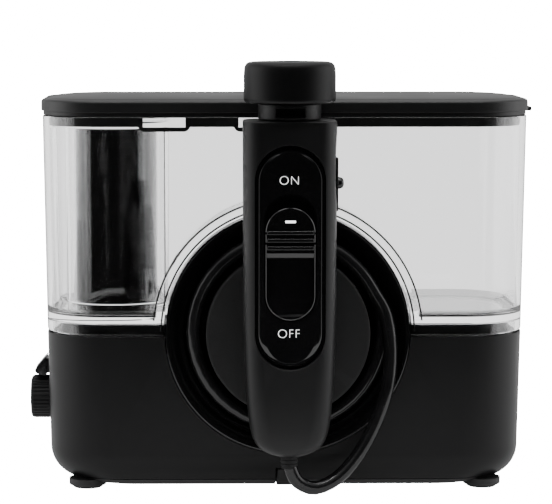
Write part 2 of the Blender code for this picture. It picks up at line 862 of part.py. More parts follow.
def inlet_nipple(shop):
    low = BASE_TOP - WALL
    profile = [
        (NIPPLE_RADIUS - 1.4 * MM, FLOOR_TOP + 3 * MM),
        (NIPPLE_RADIUS - 0.5 * MM, FLOOR_TOP + 3 * MM),
        (NIPPLE_RADIUS, FLOOR_TOP + 1 * MM),
        (NIPPLE_RADIUS, low - GAP),
        (NIPPLE_RADIUS + 2 * MM, low - GAP),
        (NIPPLE_RADIUS + 2 * MM, low - 2 * MM),
        (NIPPLE_RADIUS - 1.4 * MM, low - 2 * MM),
    ]
    turned(shop, "inlet_nipple", profile, (0, NIPPLE_Y, 0), "Z", matte_black(), 20, ring=True)


def lid(shop):
    top = LID_LOW + LID_LIP + LID_RIM

    def ring(z, inset):
        return level_ring(LID_HALF_WIDTH - inset, LID_HALF_DEPTH - inset, BODY_CORNER + LID_SIDE - inset, z)

    skirt = LID_SIDE + TANK_WALL + SLIP
    rings = [
        ring(top + LID_CROWN, 26 * MM),
        ring(top + LID_CROWN * 0.8, 14 * MM),
        ring(top + LID_CROWN * 0.3, 4 * MM),
        ring(top, 1.2 * MM),
        ring(top - 0.5 * MM, 0.3 * MM),
        ring(top - 1.3 * MM, 0),
        ring(LID_LOW + LID_LIP, 0),
        ring(LID_LOW + LID_LIP - 0.3 * MM, 0.8 * MM),
        ring(LID_LOW, 0.8 * MM),
        ring(LID_LOW, skirt),
        ring(LID_LOW - LID_SKIRT_DEPTH, skirt),
        ring(LID_LOW - LID_SKIRT_DEPTH, skirt + LID_SKIRT_WALL),
        ring(top - LID_PLATE, skirt + LID_SKIRT_WALL),
    ]
    cover = loft(shop, "lid", rings, black_shell())
    tab_low = (LID_HALF_WIDTH - 1.0 * MM, 5 * MM, LID_LOW + 0.2 * MM)
    tab_high = (LID_HALF_WIDTH + LID_TAB[0], 5 * MM + LID_TAB[1], LID_LOW + 0.2 * MM + LID_TAB[2])
    join(
        shop,
        cover,
        rod(shop, "knuckle", KNUCKLE_RADIUS, (-KNUCKLE_HALF, HINGE_Y, HINGE_Z), 2 * KNUCKLE_HALF, "X"),
        box(
            shop,
            "knuckle_web",
            (-KNUCKLE_HALF, LID_HALF_DEPTH - 1.5 * MM, HINGE_Z + 0.1 * MM),
            (KNUCKLE_HALF, HINGE_Y + 0.4 * MM, HINGE_Z + KNUCKLE_RADIUS - 0.2 * MM),
        ),
        box(shop, "finger_tab", tab_low, tab_high),
    )
    notches = []
    for middle, half in ((-47.0 * MM, 8.6 * MM), (-10.0 * MM, 8.6 * MM)):
        notches.append(
            box(
                shop,
                f"clip_notch_{round(middle / MM)}",
                (middle - half, -TANK_HALF_DEPTH, LID_LOW - LID_SKIRT_DEPTH - MM),
                (middle + half, -TANK_HALF_DEPTH + 7 * MM, LID_LOW - 1.0 * MM),
            )
        )
    cut(
        shop,
        cover,
        rod(
            shop,
            "knuckle_bore",
            PIN_RADIUS + GAP,
            (-KNUCKLE_HALF - MM, HINGE_Y, HINGE_Z),
            2 * KNUCKLE_HALF + 2 * MM,
            "X",
            sides=12,
        ),
        *notches,
    )
    put_origin(cover, (0, HINGE_Y, HINGE_Z))
    half = KNUCKLE_HALF + SLIP + LUG_WIDTH
    rod(shop, "lid_hinge_pin", PIN_RADIUS, (-half, HINGE_Y, HINGE_Z), 2 * half, "X", steel(), 12)


def handle_rings(inset, low_lift=0.0):
    """Outlines of the handle from its round lower end to its flat top."""
    low = HANDLE_LOW + low_lift
    levels = [
        (low, 12.0 * MM, 6.0 * MM),
        (low + 1.0 * MM, 9.0 * MM, 3.2 * MM),
        (low + 3.2 * MM, 5.8 * MM, 1.4 * MM),
        (low + 8.5 * MM, 2.9 * MM, 0.5 * MM),
        (low + 16 * MM, 1.75 * MM, 0.2 * MM),
        (low + 34 * MM, 0.7 * MM, 0.0),
        (HANDLE_TAPER_TOP, 0.15 * MM, 0.0),
        (HANDLE_TOP - 4 * MM, 0.0, 0.0),
        (HANDLE_TOP - 1.2 * MM - inset, 0.3 * MM, 0.3 * MM),
        (HANDLE_TOP - 0.3 * MM - inset, 1.0 * MM, 1.0 * MM),
        (HANDLE_TOP - inset, 2.2 * MM, 2.2 * MM),
    ]
    rings = []
    for z, side, front in levels:
        half_x = HANDLE_HALF_WIDTH - side - inset
        half_y = HANDLE_THICK / 2 - front - inset
        rings.append(level_ring(half_x, half_y, HANDLE_CORNER - inset / 2, z, (BAY_X, HANDLE_Y), 7))
    return rings


def handle_half(shop, name, near, far):
    """One half of the handle's casing, between two depths."""
    half = loft(shop, name, handle_rings(0.0), black_shell())
    neck = (BAY_X, HANDLE_Y, HANDLE_TOP - 8 * MM)
    tail = (BAY_X, HANDLE_Y, HANDLE_LOW - 2 * MM)
    cut(shop, half, loft(shop, f"{name}_hollow", handle_rings(HANDLE_WALL, HANDLE_WALL)))
    wide = HANDLE_HALF_WIDTH + 10 * MM
    block = box(
        shop,
        f"{name}_side",
        (BAY_X - wide, near, HANDLE_LOW - 10 * MM),
        (BAY_X + wide, far, HANDLE_TOP + 10 * MM),
    )
    keep_inside(shop, half, block)
    scoop = rod(
        shop,
        f"{name}_scoop",
        SCOOP_RADIUS,
        (BAY_X + HANDLE_HALF_WIDTH - SCOOP_DEEP + SCOOP_RADIUS, HANDLE_FRONT - 5 * MM, SCOOP_Z),
        HANDLE_THICK + 10 * MM,
        "Y",
        sides=120,
    )
    thick, deep, tall = EJECT_STRIP
    pocket = box(
        shop,
        f"{name}_bezel_pocket",
        (BEZEL_X - GAP, HANDLE_Y - deep / 2 - GAP, BEZEL_LOW - GAP),
        (BEZEL_X + 8 * MM, HANDLE_Y + deep / 2 + GAP, BEZEL_LOW + tall + GAP),
    )
    cut(
        shop,
        half,
        scoop,
        pocket,
        rod(shop, f"{name}_neck_hole", NECK_SPIGOT + GAP, neck, 16 * MM, "Z"),
        rod(shop, f"{name}_hose_hole", BARB_RADIUS + GAP, tail, 9 * MM, "Z"),
        rod(
            shop,
            f"{name}_eject_hole",
            EJECT_RADIUS + SLIP,
            (BAY_X + HANDLE_HALF_WIDTH - 6 * MM, HANDLE_Y, EJECT_Z),
            12 * MM,
            "X",
            sides=16,
        ),
    )
    return half


def handle(shop):
    split = HANDLE_Y
    front = handle_half(shop, "handle_front", HANDLE_FRONT - MM, split - GAP / 2)
    handle_half(shop, "handle_back", split + GAP / 2, HANDLE_BACK + MM)
    cut_width = PANEL_HALF_WIDTH + PANEL_GROOVE
    rings = [
        upright_ring(cut_width, PANEL_LOW - PANEL_GROOVE, PANEL_TOP + PANEL_GROOVE, y, BAY_X)
        for y in (HANDLE_FRONT - 2 * MM, HANDLE_FRONT + 6 * MM)
    ]
    cut(shop, front, loft(shop, "panel_opening", rings))
    plate_back = HANDLE_BACK - HANDLE_WALL - GAP
    rod(shop, "steel_dock_plate", 9.5 * MM, (BAY_X, plate_back - 1.5 * MM, BAY_Z), 1.5 * MM, "Y", steel())


def control_panel(shop):
    """The inset panel with the well that the switch slides in."""
    front = HANDLE_FRONT + 0.2 * MM
    step = HANDLE_FRONT + 2.0 * MM
    back = HANDLE_FRONT + PANEL_THICK
    wide = PANEL_HALF_WIDTH + PANEL_FLANGE

    def ring(half, y):
        grow = half - PANEL_HALF_WIDTH
        return upright_ring(half, PANEL_LOW - grow, PANEL_TOP + grow, y, BAY_X)

    rings = [
        ring(wide, back),
        ring(wide, step),
        ring(PANEL_HALF_WIDTH, step),
        ring(PANEL_HALF_WIDTH, front + 0.6 * MM),
        ring(PANEL_HALF_WIDTH - 1.0 * MM, front),
    ]
    panel = loft(shop, "control_panel", rings, gloss_black())
    well = SLIDER_HALF_WIDTH + SLIP
    rings = [
        upright_ring(well, SLIDER_LOW - SLIP, SLIDER_TOP + SLIDER_TRAVEL + SLIP, y, BAY_X)
        for y in (HANDLE_FRONT - 3 * MM, SLIDER_FRONT + SLIDER_THICK + SLIP)
    ]
    slot_low = STEM_Z - STEM_HALF - SLIP
    cut(
        shop,
        panel,
        loft(shop, "switch_well", rings),
        box(
            shop,
            "stem_slot",
            (BAY_X - STEM_HALF - SLIP, HANDLE_FRONT, slot_low),
            (BAY_X + STEM_HALF + SLIP, back + 3 * MM, STEM_Z + STEM_HALF + SLIDER_TRAVEL + SLIP),
        ),
    )


def slide_switch(shop):
    back = SLIDER_FRONT + SLIDER_THICK
    rings = [
        upright_ring(SLIDER_HALF_WIDTH, SLIDER_LOW, SLIDER_TOP, back, BAY_X),
        upright_ring(SLIDER_HALF_WIDTH, SLIDER_LOW, SLIDER_TOP, SLIDER_FRONT + 0.5 * MM, BAY_X),
        upright_ring(
            SLIDER_HALF_WIDTH - 0.5 * MM, SLIDER_LOW + 0.5 * MM, SLIDER_TOP - 0.5 * MM, SLIDER_FRONT, BAY_X
        ),
    ]
    switch = loft(shop, "slide_switch", rings, gloss_black())
    bm = bmesh.new()
    bmesh.ops.create_uvsphere(bm, u_segments=24, v_segments=12, radius=1.0)
    bmesh.ops.scale(bm, vec=(8.4 * MM, 2.4 * MM, 13.0 * MM), verts=bm.verts)
    mesh = bpy.data.meshes.new("thumb_dish")
    bm.to_mesh(mesh)
    bm.free()
    dish = shop.add("thumb_dish", mesh, None, (BAY_X, SLIDER_FRONT - 0.7 * MM, 84.4 * MM))
    cut(shop, switch, dish)
    ridge = box(
        shop,
        "thumb_ridge",
        (BAY_X - RIDGE_HALF_WIDTH, SLIDER_FRONT - RIDGE_RISE, RIDGE_LOW),
        (BAY_X + RIDGE_HALF_WIDTH, SLIDER_FRONT + MM, RIDGE_TOP),
        None,
        0.6 * MM,
    )
    stem = box(
        shop,
        "switch_stem",
        (BAY_X - STEM_HALF, back - 0.5 * MM, STEM_Z - STEM_HALF),
        (BAY_X + STEM_HALF, HANDLE_FRONT + PANEL_THICK + SLIP + MM, STEM_Z + STEM_HALF),
    )
    join(shop, switch, ridge, stem)


def handle_water_path(shop):
    """The valve spool that the switch carries, the valve block round it and the tubes on both sides."""
    spool_y = HANDLE_FRONT + PANEL_THICK + SLIP + MM + GAP + SPOOL_RADIUS
    rod(shop, "valve_spool", SPOOL_RADIUS, (BAY_X, spool_y, SPOOL_LOW), SPOOL_LONG, "Z", steel(), 16)
    block = box(
        shop,
        "handle_valve_block",
        (BAY_X - 4.6 * MM, spool_y - 1.6 * MM, BLOCK_LOW),
        (BAY_X + 4.6 * MM, spool_y + 6.4 * MM, BLOCK_TOP),
        matte_black(),
    )
    cut(
        shop,
        block,
        rod(
            shop,
            "spool_bore",
            SPOOL_RADIUS + SLIP,
            (BAY_X, spool_y, SPOOL_LOW - 2 * MM),
            SPOOL_LONG + 10 * MM,
            "Z",
            sides=16,
        ),
        box(
            shop,
            "spool_window",
            (BAY_X - SPOOL_RADIUS - 0.6 * MM, spool_y - 5 * MM, SPOOL_LOW),
            (BAY_X + SPOOL_RADIUS + 0.6 * MM, spool_y, SPOOL_LOW + SPOOL_LONG + 2 * MM),
        ),
    )
    tube_y = HANDLE_Y
    lower = (HANDLE_LOW + BARB_LONG + GAP, 40 * MM, BLOCK_LOW - GAP)
    upper = (BLOCK_TOP + GAP, 120 * MM, SPIGOT_LOW - GAP)
    for name, heights in (("handle_lower_tube", lower), ("handle_upper_tube", upper)):
        tube(shop, name, [(BAY_X, tube_y, z) for z in heights], TUBE_RADIUS, rubber())


def hose_barb(shop):
    profile = [
        (0, BARB_LONG),
        (2.0 * MM, BARB_LONG),
        (2.0 * MM, 6.5 * MM),
        (BARB_RADIUS + 1.2 * MM, 6.5 * MM),
        (BARB_RADIUS + 1.2 * MM, 4.6 * MM),
        (BARB_RADIUS, 4.6 * MM),
        (BARB_RADIUS, 0),
        (0, 0),
    ]
    turned(shop, "hose_strain_relief", profile, (BAY_X, HANDLE_Y, HANDLE_LOW), "Z", rubber(), 20)


def neck_and_knob(shop):
    profile = [
        (KNOB_BORE, NECK_TOP),
        (NECK_RADIUS, NECK_TOP),
        (NECK_RADIUS, HANDLE_TOP + GAP),
        (NECK_SPIGOT, HANDLE_TOP + GAP),
        (NECK_SPIGOT, SPIGOT_LOW),
        (KNOB_BORE, SPIGOT_LOW),
    ]
    neck = turned(shop, "neck_collar", profile, (BAY_X, HANDLE_Y, 0), "Z", black_shell(), 28, ring=True)
    window = box(
        shop,
        "neck_window",
        (BAY_X - 5.7 * MM, HANDLE_Y - NECK_RADIUS - MM, HANDLE_TOP + 1.2 * MM),
        (BAY_X + 5.7 * MM, HANDLE_Y - NECK_RADIUS + 2.6 * MM, NECK_TOP - 0.8 * MM),
    )
    cut(shop, neck, window)
    low = NECK_TOP + SLIP
    profile = [
        (KNOB_BORE, KNOB_TOP - 0.6 * MM),
        (KNOB_BORE + 1.2 * MM, KNOB_TOP),
        (KNOB_RADIUS - 2.4 * MM, KNOB_TOP),
        (KNOB_RADIUS - 1.0 * MM, KNOB_TOP - 0.5 * MM),
        (KNOB_RADIUS - 0.5 * MM, KNOB_TOP - 1.6 * MM),
        (KNOB_RADIUS, low + 0.8 * MM),
        (KNOB_RADIUS - 0.6 * MM, low),
        (KNOB_BORE, low),
    ]
    turned(shop, "tip_rotator_knob", profile, (BAY_X, HANDLE_Y, 0), "Z", black_shell(), 36, ring=True)
    outer = KNOB_BORE - GAP
    profile = [
        (SOCKET_BORE, KNOB_TOP - 1.4 * MM),
        (outer, KNOB_TOP - 1.4 * MM),
        (outer, SPIGOT_LOW + 2 * MM),
        (SOCKET_BORE, SPIGOT_LOW + 2 * MM),
    ]
    turned(shop, "tip_socket", profile, (BAY_X, HANDLE_Y, 0), "Z", white_plastic(), 20, ring=True)


def eject_button(shop):
    thick, deep, tall = EJECT_STRIP
    low = BEZEL_X
    strip = box(
        shop,
        "eject_bezel",
        (low, HANDLE_Y - deep / 2, BEZEL_LOW),
        (low + thick, HANDLE_Y + deep / 2, BEZEL_LOW + tall),
        matte_black(),
    )
    cut(
        shop,
        strip,
        rod(shop, "bezel_hole", EJECT_RADIUS + GAP, (low - 2 * MM, HANDLE_Y, EJECT_Z), 6 * MM, "X", sides=16),
    )
    profile = [
        (0, EJECT_PROUD),
        (EJECT_RADIUS * 0.5, EJECT_PROUD - 0.2 * MM),
        (EJECT_RADIUS * 0.86, EJECT_PROUD - 0.9 * MM),
        (EJECT_RADIUS, EJECT_PROUD - 1.8 * MM),
        (EJECT_RADIUS, -1.5 * MM),
        (0, -1.5 * MM),
    ]
    turned(shop, "eject_button", profile, (low + thick - 0.4 * MM, HANDLE_Y, EJECT_Z), "X", gloss_black(), 16)


def pressure_dial(shop):
    face = -SIDE_AT_DIAL - 2 * GAP
    profile = [
        (0, DIAL_THICK + STEM_LONG),
        (DIAL_STEM, DIAL_THICK + STEM_LONG),
        (DIAL_STEM, DIAL_THICK),
        (DIAL_RADIUS, DIAL_THICK),
        (DIAL_RADIUS, 0.8 * MM),
        (DIAL_RADIUS - 0.8 * MM, 0),
        (0, 0),
    ]
    turned(shop, "pressure_dial", profile, (face - DIAL_THICK, 0, DIAL_Z), "X", matte_black(), 32)
    start = -BODY_HALF_WIDTH + WALL + 3.2 * MM
    bore_end = VALVE_LONG - 4 * MM
    profile = [
        (0, VALVE_LONG),
        (VALVE_RADIUS, VALVE_LONG),
        (VALVE_RADIUS, 0),
        (DIAL_STEM + SLIP, 0),
        (DIAL_STEM + SLIP, bore_end),
        (0, bore_end),
    ]
    turned(shop, "pressure_valve", profile, (start, 0, DIAL_Z), "X", matte_black(), 20, ring=True)


def power_button(shop):
    wall = -BUTTON_SIDE
    face = wall - GAP - BUTTON_TRAVEL
    tip = face - BUTTON_PROUD
    outline = [
        (face, BUTTON_TOP),
        (tip + 0.3 * MM, BUTTON_TOP - 5.0 * MM),
        (tip, BUTTON_TOP - 5.6 * MM),
        (tip + 0.2 * MM, BUTTON_TOP - 6.4 * MM),
        (tip + 1.6 * MM, BUTTON_LOW + 0.3 * MM),
        (face, BUTTON_LOW),
    ]
    button = prism(shop, "power_button", outline, -BUTTON_HALF_DEPTH, BUTTON_HALF_DEPTH, "XZ", gloss_black())
    plunger = box(
        shop,
        "button_plunger",
        (face - 0.8 * MM, -BUTTON_HALF_DEPTH + 1.2 * MM, BUTTON_LOW + 1 * MM),
        (wall + WALL + 2.0 * MM, BUTTON_HALF_DEPTH - 1.2 * MM, BUTTON_TOP - 1 * MM),
    )
    join(shop, button, plunger)
    start = wall + WALL + 2.0 * MM + BUTTON_TRAVEL + GAP
    box(
        shop,
        "power_switch",
        (start, -3.2 * MM, BUTTON_LOW + 1.2 * MM),
        (BOARD_X - GAP, 3.2 * MM, BUTTON_LOW + 6.4 * MM),
        matte_black(),
    )


def control_board(shop):
    board = box(
        shop,
        "control_board",
        (BOARD_X, -26 * MM, 9 * MM),
        (BOARD_X + BOARD_THICK, 10 * MM, 53 * MM),
        board_green(),
    )
    cut(
        shop,
        board,
        rod(shop, "board_hole", VALVE_RADIUS + GAP, (BOARD_X - 5 * MM, 0, DIAL_Z), 12 * MM, "X", sides=20),
    )


def batteries(shop):
    pitch = 2 * CELL_RADIUS + 1.0 * MM
    left = CELL_X - CELL_LONG / 2
    for number in (1, 2):
        z = CELL_LOW_Z + (number - 1) * pitch
        rod(shop, f"battery_cell_{number}", CELL_RADIUS, (left, CELL_Y, z), CELL_LONG, "X", steel(), 24)
    cradle = box(
        shop,
        "battery_cradle",
        (left + 8 * MM, CELL_Y - CELL_RADIUS - 3 * MM, BASE_SPLIT + GAP),
        (left + CELL_LONG - 8 * MM, CELL_Y - 1 * MM, CELL_LOW_Z + pitch + 4 * MM),
        matte_black(),
    )
    bores = []
    for number in (1, 2):
        z = CELL_LOW_Z + (number - 1) * pitch
        start = (left - MM, CELL_Y, z)
        bores.append(rod(shop, f"cell_bore_{number}", CELL_RADIUS + GAP, start, CELL_LONG + 2 * MM, "X"))
    cut(shop, cradle, *bores)


def charge_socket(shop):
    inner = BODY_HALF_DEPTH - BODY_DRAFT / 2 - WALL - 0.4 * MM
    socket = box(
        shop,
        "charge_socket",
        (SOCKET_X - 5.5 * MM, inner - 9 * MM, SOCKET_Z - 5 * MM),
        (SOCKET_X + 5.5 * MM, inner, SOCKET_Z + 5 * MM),
        matte_black(),
    )
    bore = rod(shop, "socket_bore", 2.8 * MM, (SOCKET_X, inner - 7 * MM, SOCKET_Z), 9 * MM, "Y", sides=16)
    cut(shop, socket, bore)


def gear_outline(teeth, phase=0.0):
    """Plain straight-sided teeth, thin enough to run with play."""
    pitch_radius = GEAR_MODULE * teeth / 2
    outer = pitch_radius + 0.9 * GEAR_MODULE
    root = pitch_radius - 1.15 * GEAR_MODULE
    points = []
    for tooth in range(teeth):
        middle = phase + 2 * math.pi * tooth / teeth
        for radius, half in ((root, 0.95 * MM), (outer, 0.32 * MM)):
            spread = half / radius
            if radius == root:
                first = (root, middle - spread)
                last = (root, middle + spread)
            else:
                points += [first, (outer, middle - spread), (outer, middle + spread), last]
    return [(radius * math.cos(turn), radius * math.sin(turn)) for radius, turn in points]


def gear(shop, name, teeth, start_x, z, bore, phase):
    outline = [(MOTOR_Y + a, z + b) for a, b in gear_outline(teeth, phase)]
    wheel = prism(shop, name, outline, start_x, start_x + GEAR_THICK, "YZ", white_plastic())
    hole_start = (start_x - MM, MOTOR_Y, z)
    if bore:
        cut(shop, wheel, rod(shop, f"{name}_bore", bore, hole_start, GEAR_THICK + 2 * MM, "X", sides=16))
    return wheel


def pump(shop):
    rod(
        shop,
        "pump_motor",
        MOTOR_RADIUS,
        (MOTOR_END_X - MOTOR_LONG, MOTOR_Y, MOTOR_Z),
        MOTOR_LONG,
        "X",
        steel(),
        32,
    )
    motor = bpy.data.objects["pump_motor"]
    cut(
        shop,
        motor,
        rod(shop, "shaft_bore", 1.4 * MM, (MOTOR_END_X - 5 * MM, MOTOR_Y, MOTOR_Z), 8 * MM, "X", sides=12),
    )
    gear_z = MOTOR_Z + GEAR_MODULE * (PINION_TEETH + GEAR_TEETH) / 2 + GEAR_BACKLASH
    plate_x = MOTOR_END_X + GAP
    gear_x = plate_x + BRACKET_THICK + GAP
    bracket = box(
        shop,
        "pump_bracket",
        (plate_x, MOTOR_Y - 12 * MM, BASE_SPLIT + GAP),
        (plate_x + BRACKET_THICK, MOTOR_Y + 12 * MM, gear_z + 6 * MM),
        steel(),
    )
    cut(
        shop,
        bracket,
        rod(shop, "bracket_shaft_hole", 1.8 * MM, (plate_x - MM, MOTOR_Y, MOTOR_Z), 5 * MM, "X", sides=12),
        rod(shop, "axle_hole", AXLE_RADIUS + GAP, (plate_x - MM, MOTOR_Y, gear_z), 5 * MM, "X", sides=12),
    )
    pinion = gear(shop, "motor_pinion", PINION_TEETH, gear_x, MOTOR_Z, 0, math.radians(90 + 18))
    shaft = rod(
        shop,
        "motor_shaft",
        1.0 * MM,
        (MOTOR_END_X - 4 * MM, MOTOR_Y, MOTOR_Z),
        gear_x - MOTOR_END_X + 6 * MM,
        "X",
        sides=12,
    )
    join(shop, pinion, shaft)
    put_origin(pinion, (gear_x, MOTOR_Y, MOTOR_Z))
    wheel = gear(shop, "drive_gear", GEAR_TEETH, gear_x, gear_z, AXLE_RADIUS + GAP, math.radians(270))
    crank_end = gear_x + GEAR_THICK + 2.2 * MM
    crank = rod(
        shop,
        "crank_pin",
        1.5 * MM,
        (gear_x + GEAR_THICK - MM, MOTOR_Y, gear_z + CRANK),
        crank_end - gear_x - GEAR_THICK + MM,
        "X",
        sides=12,
    )
    join(shop, wheel, crank)
    put_origin(wheel, (gear_x, MOTOR_Y, gear_z))
    rod(
        shop,
        "gear_axle",
        AXLE_RADIUS,
        (plate_x - 0.6 * MM, MOTOR_Y, gear_z),
        gear_x + GEAR_THICK - plate_x + 0.6 * MM,
        "X",
        steel(),
        12,
    )
    rod_x = crank_end + GAP
    rod_thick = 2.4 * MM
    pump_x = rod_x + rod_thick / 2
    piston_y = CYLINDER_BACK_Y - 6 * MM
    arm = box(
        shop,
        "connecting_rod",
        (rod_x, piston_y + GAP, gear_z + CRANK - 2.2 * MM),
        (rod_x + rod_thick, MOTOR_Y, gear_z + CRANK + 2.2 * MM),
        steel(),
    )
    eye = rod(shop, "rod_eye", 3.6 * MM, (rod_x, MOTOR_Y, gear_z + CRANK), rod_thick, "X", sides=20)
    join(shop, arm, eye)
    cut(
        shop,
        arm,
        rod(shop, "eye_bore", 1.8 * MM, (rod_x - MM, MOTOR_Y, gear_z + CRANK), 5 * MM, "X", sides=12),
    )
    pump_z = gear_z + CRANK
    start = (pump_x, piston_y - PISTON_LONG, pump_z)
    rod(shop, "pump_piston", PISTON_RADIUS, start, PISTON_LONG, "Y", white_plastic(), 24)
    outer = PISTON_RADIUS + SLIP + CYLINDER_WALL
    profile = [
        (PISTON_RADIUS + SLIP, 0),
        (outer, 0),
        (outer, -CYLINDER_LONG),
        (0, -CYLINDER_LONG),
        (0, -CYLINDER_LONG + CYLINDER_WALL),
        (PISTON_RADIUS + SLIP, -CYLINDER_LONG + CYLINDER_WALL),
    ]
    turned(
        shop, "pump_cylinder", profile, (pump_x, CYLINDER_BACK_Y, pump_z), "Y", matte_black(), 28, ring=True
    )
    valve_y = CYLINDER_BACK_Y - CYLINDER_LONG + 5 * MM
    small = [(0, 5 * MM), (2.6 * MM, 5 * MM), (3.4 * MM, 2 * MM), (3.4 * MM, 0), (0, 0)]
    above = (pump_x, valve_y, pump_z + outer + GAP)
    below = (pump_x, valve_y, pump_z - outer - GAP)
    turned(shop, "inlet_check_valve", small, above, "Z", white_plastic(), 16)
    flip = [(0, 0), (3.4 * MM, 0), (3.4 * MM, -2 * MM), (2.6 * MM, -5 * MM), (0, -5 * MM)]
    turned(shop, "outlet_check_valve", flip, below, "Z", white_plastic(), 16)
    inner_tubes(shop, pump_x, valve_y, below[2] - 5 * MM)


def inner_tubes(shop, pump_x, valve_y, outlet_z):
    front_y = FRONT + 13.5 * MM
    outlet = [
        (pump_x, valve_y, outlet_z - GAP),
        (pump_x, valve_y, outlet_z - 5 * MM),
        (pump_x - 2 * MM, valve_y + 0.5 * MM, 17 * MM),
        (pump_x - 9 * MM, valve_y + 2 * MM, 10.5 * MM),
        (pump_x - 26 * MM, front_y, 8.6 * MM),
        (30 * MM, front_y, 8.2 * MM),
        (0, front_y, 8.2 * MM),
        (-32 * MM, front_y, 8.2 * MM),
        (-56 * MM, front_y + 4 * MM, 9.4 * MM),
        (-65.6 * MM, front_y + 12 * MM, 14 * MM),
        (-66.2 * MM, -6 * MM, 22 * MM),
        (-66.2 * MM, -1 * MM, 27.4 * MM),
    ]
    tube(shop, "outlet_tube", smooth_route(outlet, 3), TUBE_RADIUS, rubber())
    x, z = gland_place()
    start = BAY_BACK - BAY_FLOOR + 8 * MM + GAP
    feed = [
        (x, start, z),
        (x - 1 * MM, start + 4 * MM, z - 0.5 * MM),
        (x - 8 * MM, start + 8 * MM, z - 3 * MM),
        (x - 20 * MM, start + 7 * MM, z - 7 * MM),
        (x - 30 * MM, 3 * MM, z - 9.2 * MM),
        (-67.2 * MM, 0.8 * MM, DIAL_Z + 2.4 * MM),
    ]
    tube(shop, "hose_feed_tube", smooth_route(feed, 3), TUBE_RADIUS, rubber())


def tip_case(shop):
    low_z = FLOOR_TOP + GAP
    rear = TANK_HALF_DEPTH - 0.8 * MM
    middle_x = (CASE_LEFT + CASE_RIGHT) / 2
    case = loft(shop, "tip_case", [case_ring(z, rear) for z in (low_z, CASE_TOP)], matte_black())
    hollow = [case_ring(z, rear - CASE_WALL, -CASE_WALL) for z in (low_z + CASE_WALL, CASE_TOP + 5 * MM)]
    cut(
        shop,
        case,
        loft(shop, "case_hollow", hollow),
        rod(shop, "case_finger_hole", 5 * MM, (middle_x, rear - 5 * MM, CASE_TOP - 8 * MM), 9 * MM, "Y"),
    )
    profile = [
        (0, TIP_LONG),
        (0.8 * MM, TIP_LONG),
        (1.5 * MM, TIP_LONG - 6 * MM),
        (2.0 * MM, 22 * MM),
        (3.8 * MM, 16 * MM),
        (4.2 * MM, 12 * MM),
        (2.6 * MM, 8 * MM),
        (2.4 * MM, 0),
        (0, 0),
    ]
    spread = (CASE_RIGHT - CASE_LEFT) / 5
    depth = (rear - CASE_FRONT) / 3
    for number in range(4):
        x = CASE_LEFT + CASE_WALL + spread * (1 + number % 2 * 2.4)
        y = CASE_FRONT + 1.5 * MM + depth * (1 + number // 2)
        turned(
            shop,
            f"jet_tip_{number + 1}",
            profile,
            (x, y, low_z + CASE_WALL + GAP),
            "Z",
            white_plastic(),
            12,
        )


def build():
    clear_scene()
    shop = Workshop()
    base_shell(shop)
    bottom_plate(shop)
    feet(shop)
    hose_guide(shop)
    hose_bay(shop)
    hose_gland(shop)
    hub_dock(shop)
    hose_coil(shop)
    hose_tail(shop)
    reservoir(shop)
    reservoir_valve(shop)
    inlet_nipple(shop)
    lid(shop)
    handle(shop)
    control_panel(shop)
    slide_switch(shop)
    handle_water_path(shop)
    hose_barb(shop)
    neck_and_knob(shop)
    eject_button(shop)
    pressure_dial(shop)
    power_button(shop)
    control_board(shop)
    batteries(shop)
    charge_socket(shop)
    pump(shop)
    tip_case(shop)


build()
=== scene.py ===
# %% [markdown]
# # A countertop water flosser
# The real object is a small appliance: a black base with a pump in it, a clear reservoir that stands on the
# base, a lid, a handle that hangs on a magnet and a hose that is wound in a round bay. A packed mechanical
# model already gives every piece its place and its joints. This file gives each visible piece its finished
# shape and each surface its material. Lengths are written in millimetres about the body's own centre line,
# because that is how a drawing of it would be dimensioned, and one function turns them into places in the
# model's frame.

import math

import bmesh
import bpy
from mathutils import Matrix, Vector


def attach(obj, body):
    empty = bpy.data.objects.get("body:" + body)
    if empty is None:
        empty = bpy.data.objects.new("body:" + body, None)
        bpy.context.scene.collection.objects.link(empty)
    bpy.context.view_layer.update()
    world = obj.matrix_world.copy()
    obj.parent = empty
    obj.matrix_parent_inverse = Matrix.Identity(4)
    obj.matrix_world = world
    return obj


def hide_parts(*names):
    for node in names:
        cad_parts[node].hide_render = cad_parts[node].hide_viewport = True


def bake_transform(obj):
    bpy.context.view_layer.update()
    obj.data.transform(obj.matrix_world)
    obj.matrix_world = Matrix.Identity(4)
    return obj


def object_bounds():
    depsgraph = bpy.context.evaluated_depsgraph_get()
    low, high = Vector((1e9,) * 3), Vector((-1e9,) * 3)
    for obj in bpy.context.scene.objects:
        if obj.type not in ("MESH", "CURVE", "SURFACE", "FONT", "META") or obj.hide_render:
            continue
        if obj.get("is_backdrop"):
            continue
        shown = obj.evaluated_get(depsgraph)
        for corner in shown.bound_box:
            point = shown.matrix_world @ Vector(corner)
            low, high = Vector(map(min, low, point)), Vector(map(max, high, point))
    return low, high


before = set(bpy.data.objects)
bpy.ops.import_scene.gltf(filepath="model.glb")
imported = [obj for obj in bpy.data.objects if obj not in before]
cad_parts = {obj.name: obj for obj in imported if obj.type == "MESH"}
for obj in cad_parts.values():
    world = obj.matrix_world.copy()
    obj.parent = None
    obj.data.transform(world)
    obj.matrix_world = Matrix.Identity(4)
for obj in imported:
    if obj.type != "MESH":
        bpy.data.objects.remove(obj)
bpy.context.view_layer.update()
MM = 0.001
BODY_CENTRE = Vector((0.74, 14.575, 0.0))


def at(x, y, z):
    """A place about the body's centre line, in millimetres, as a place in the frame."""
    return (Vector((x, y, z)) + BODY_CENTRE) * MM


# %% [markdown]
# ## The sizes that several pieces share
# The base, the reservoir and the lid are one stack, so they share a width, a depth and a corner radius. The
# bay, the hub and the handle share one axis. Naming each of these once keeps the gaps between pieces true.

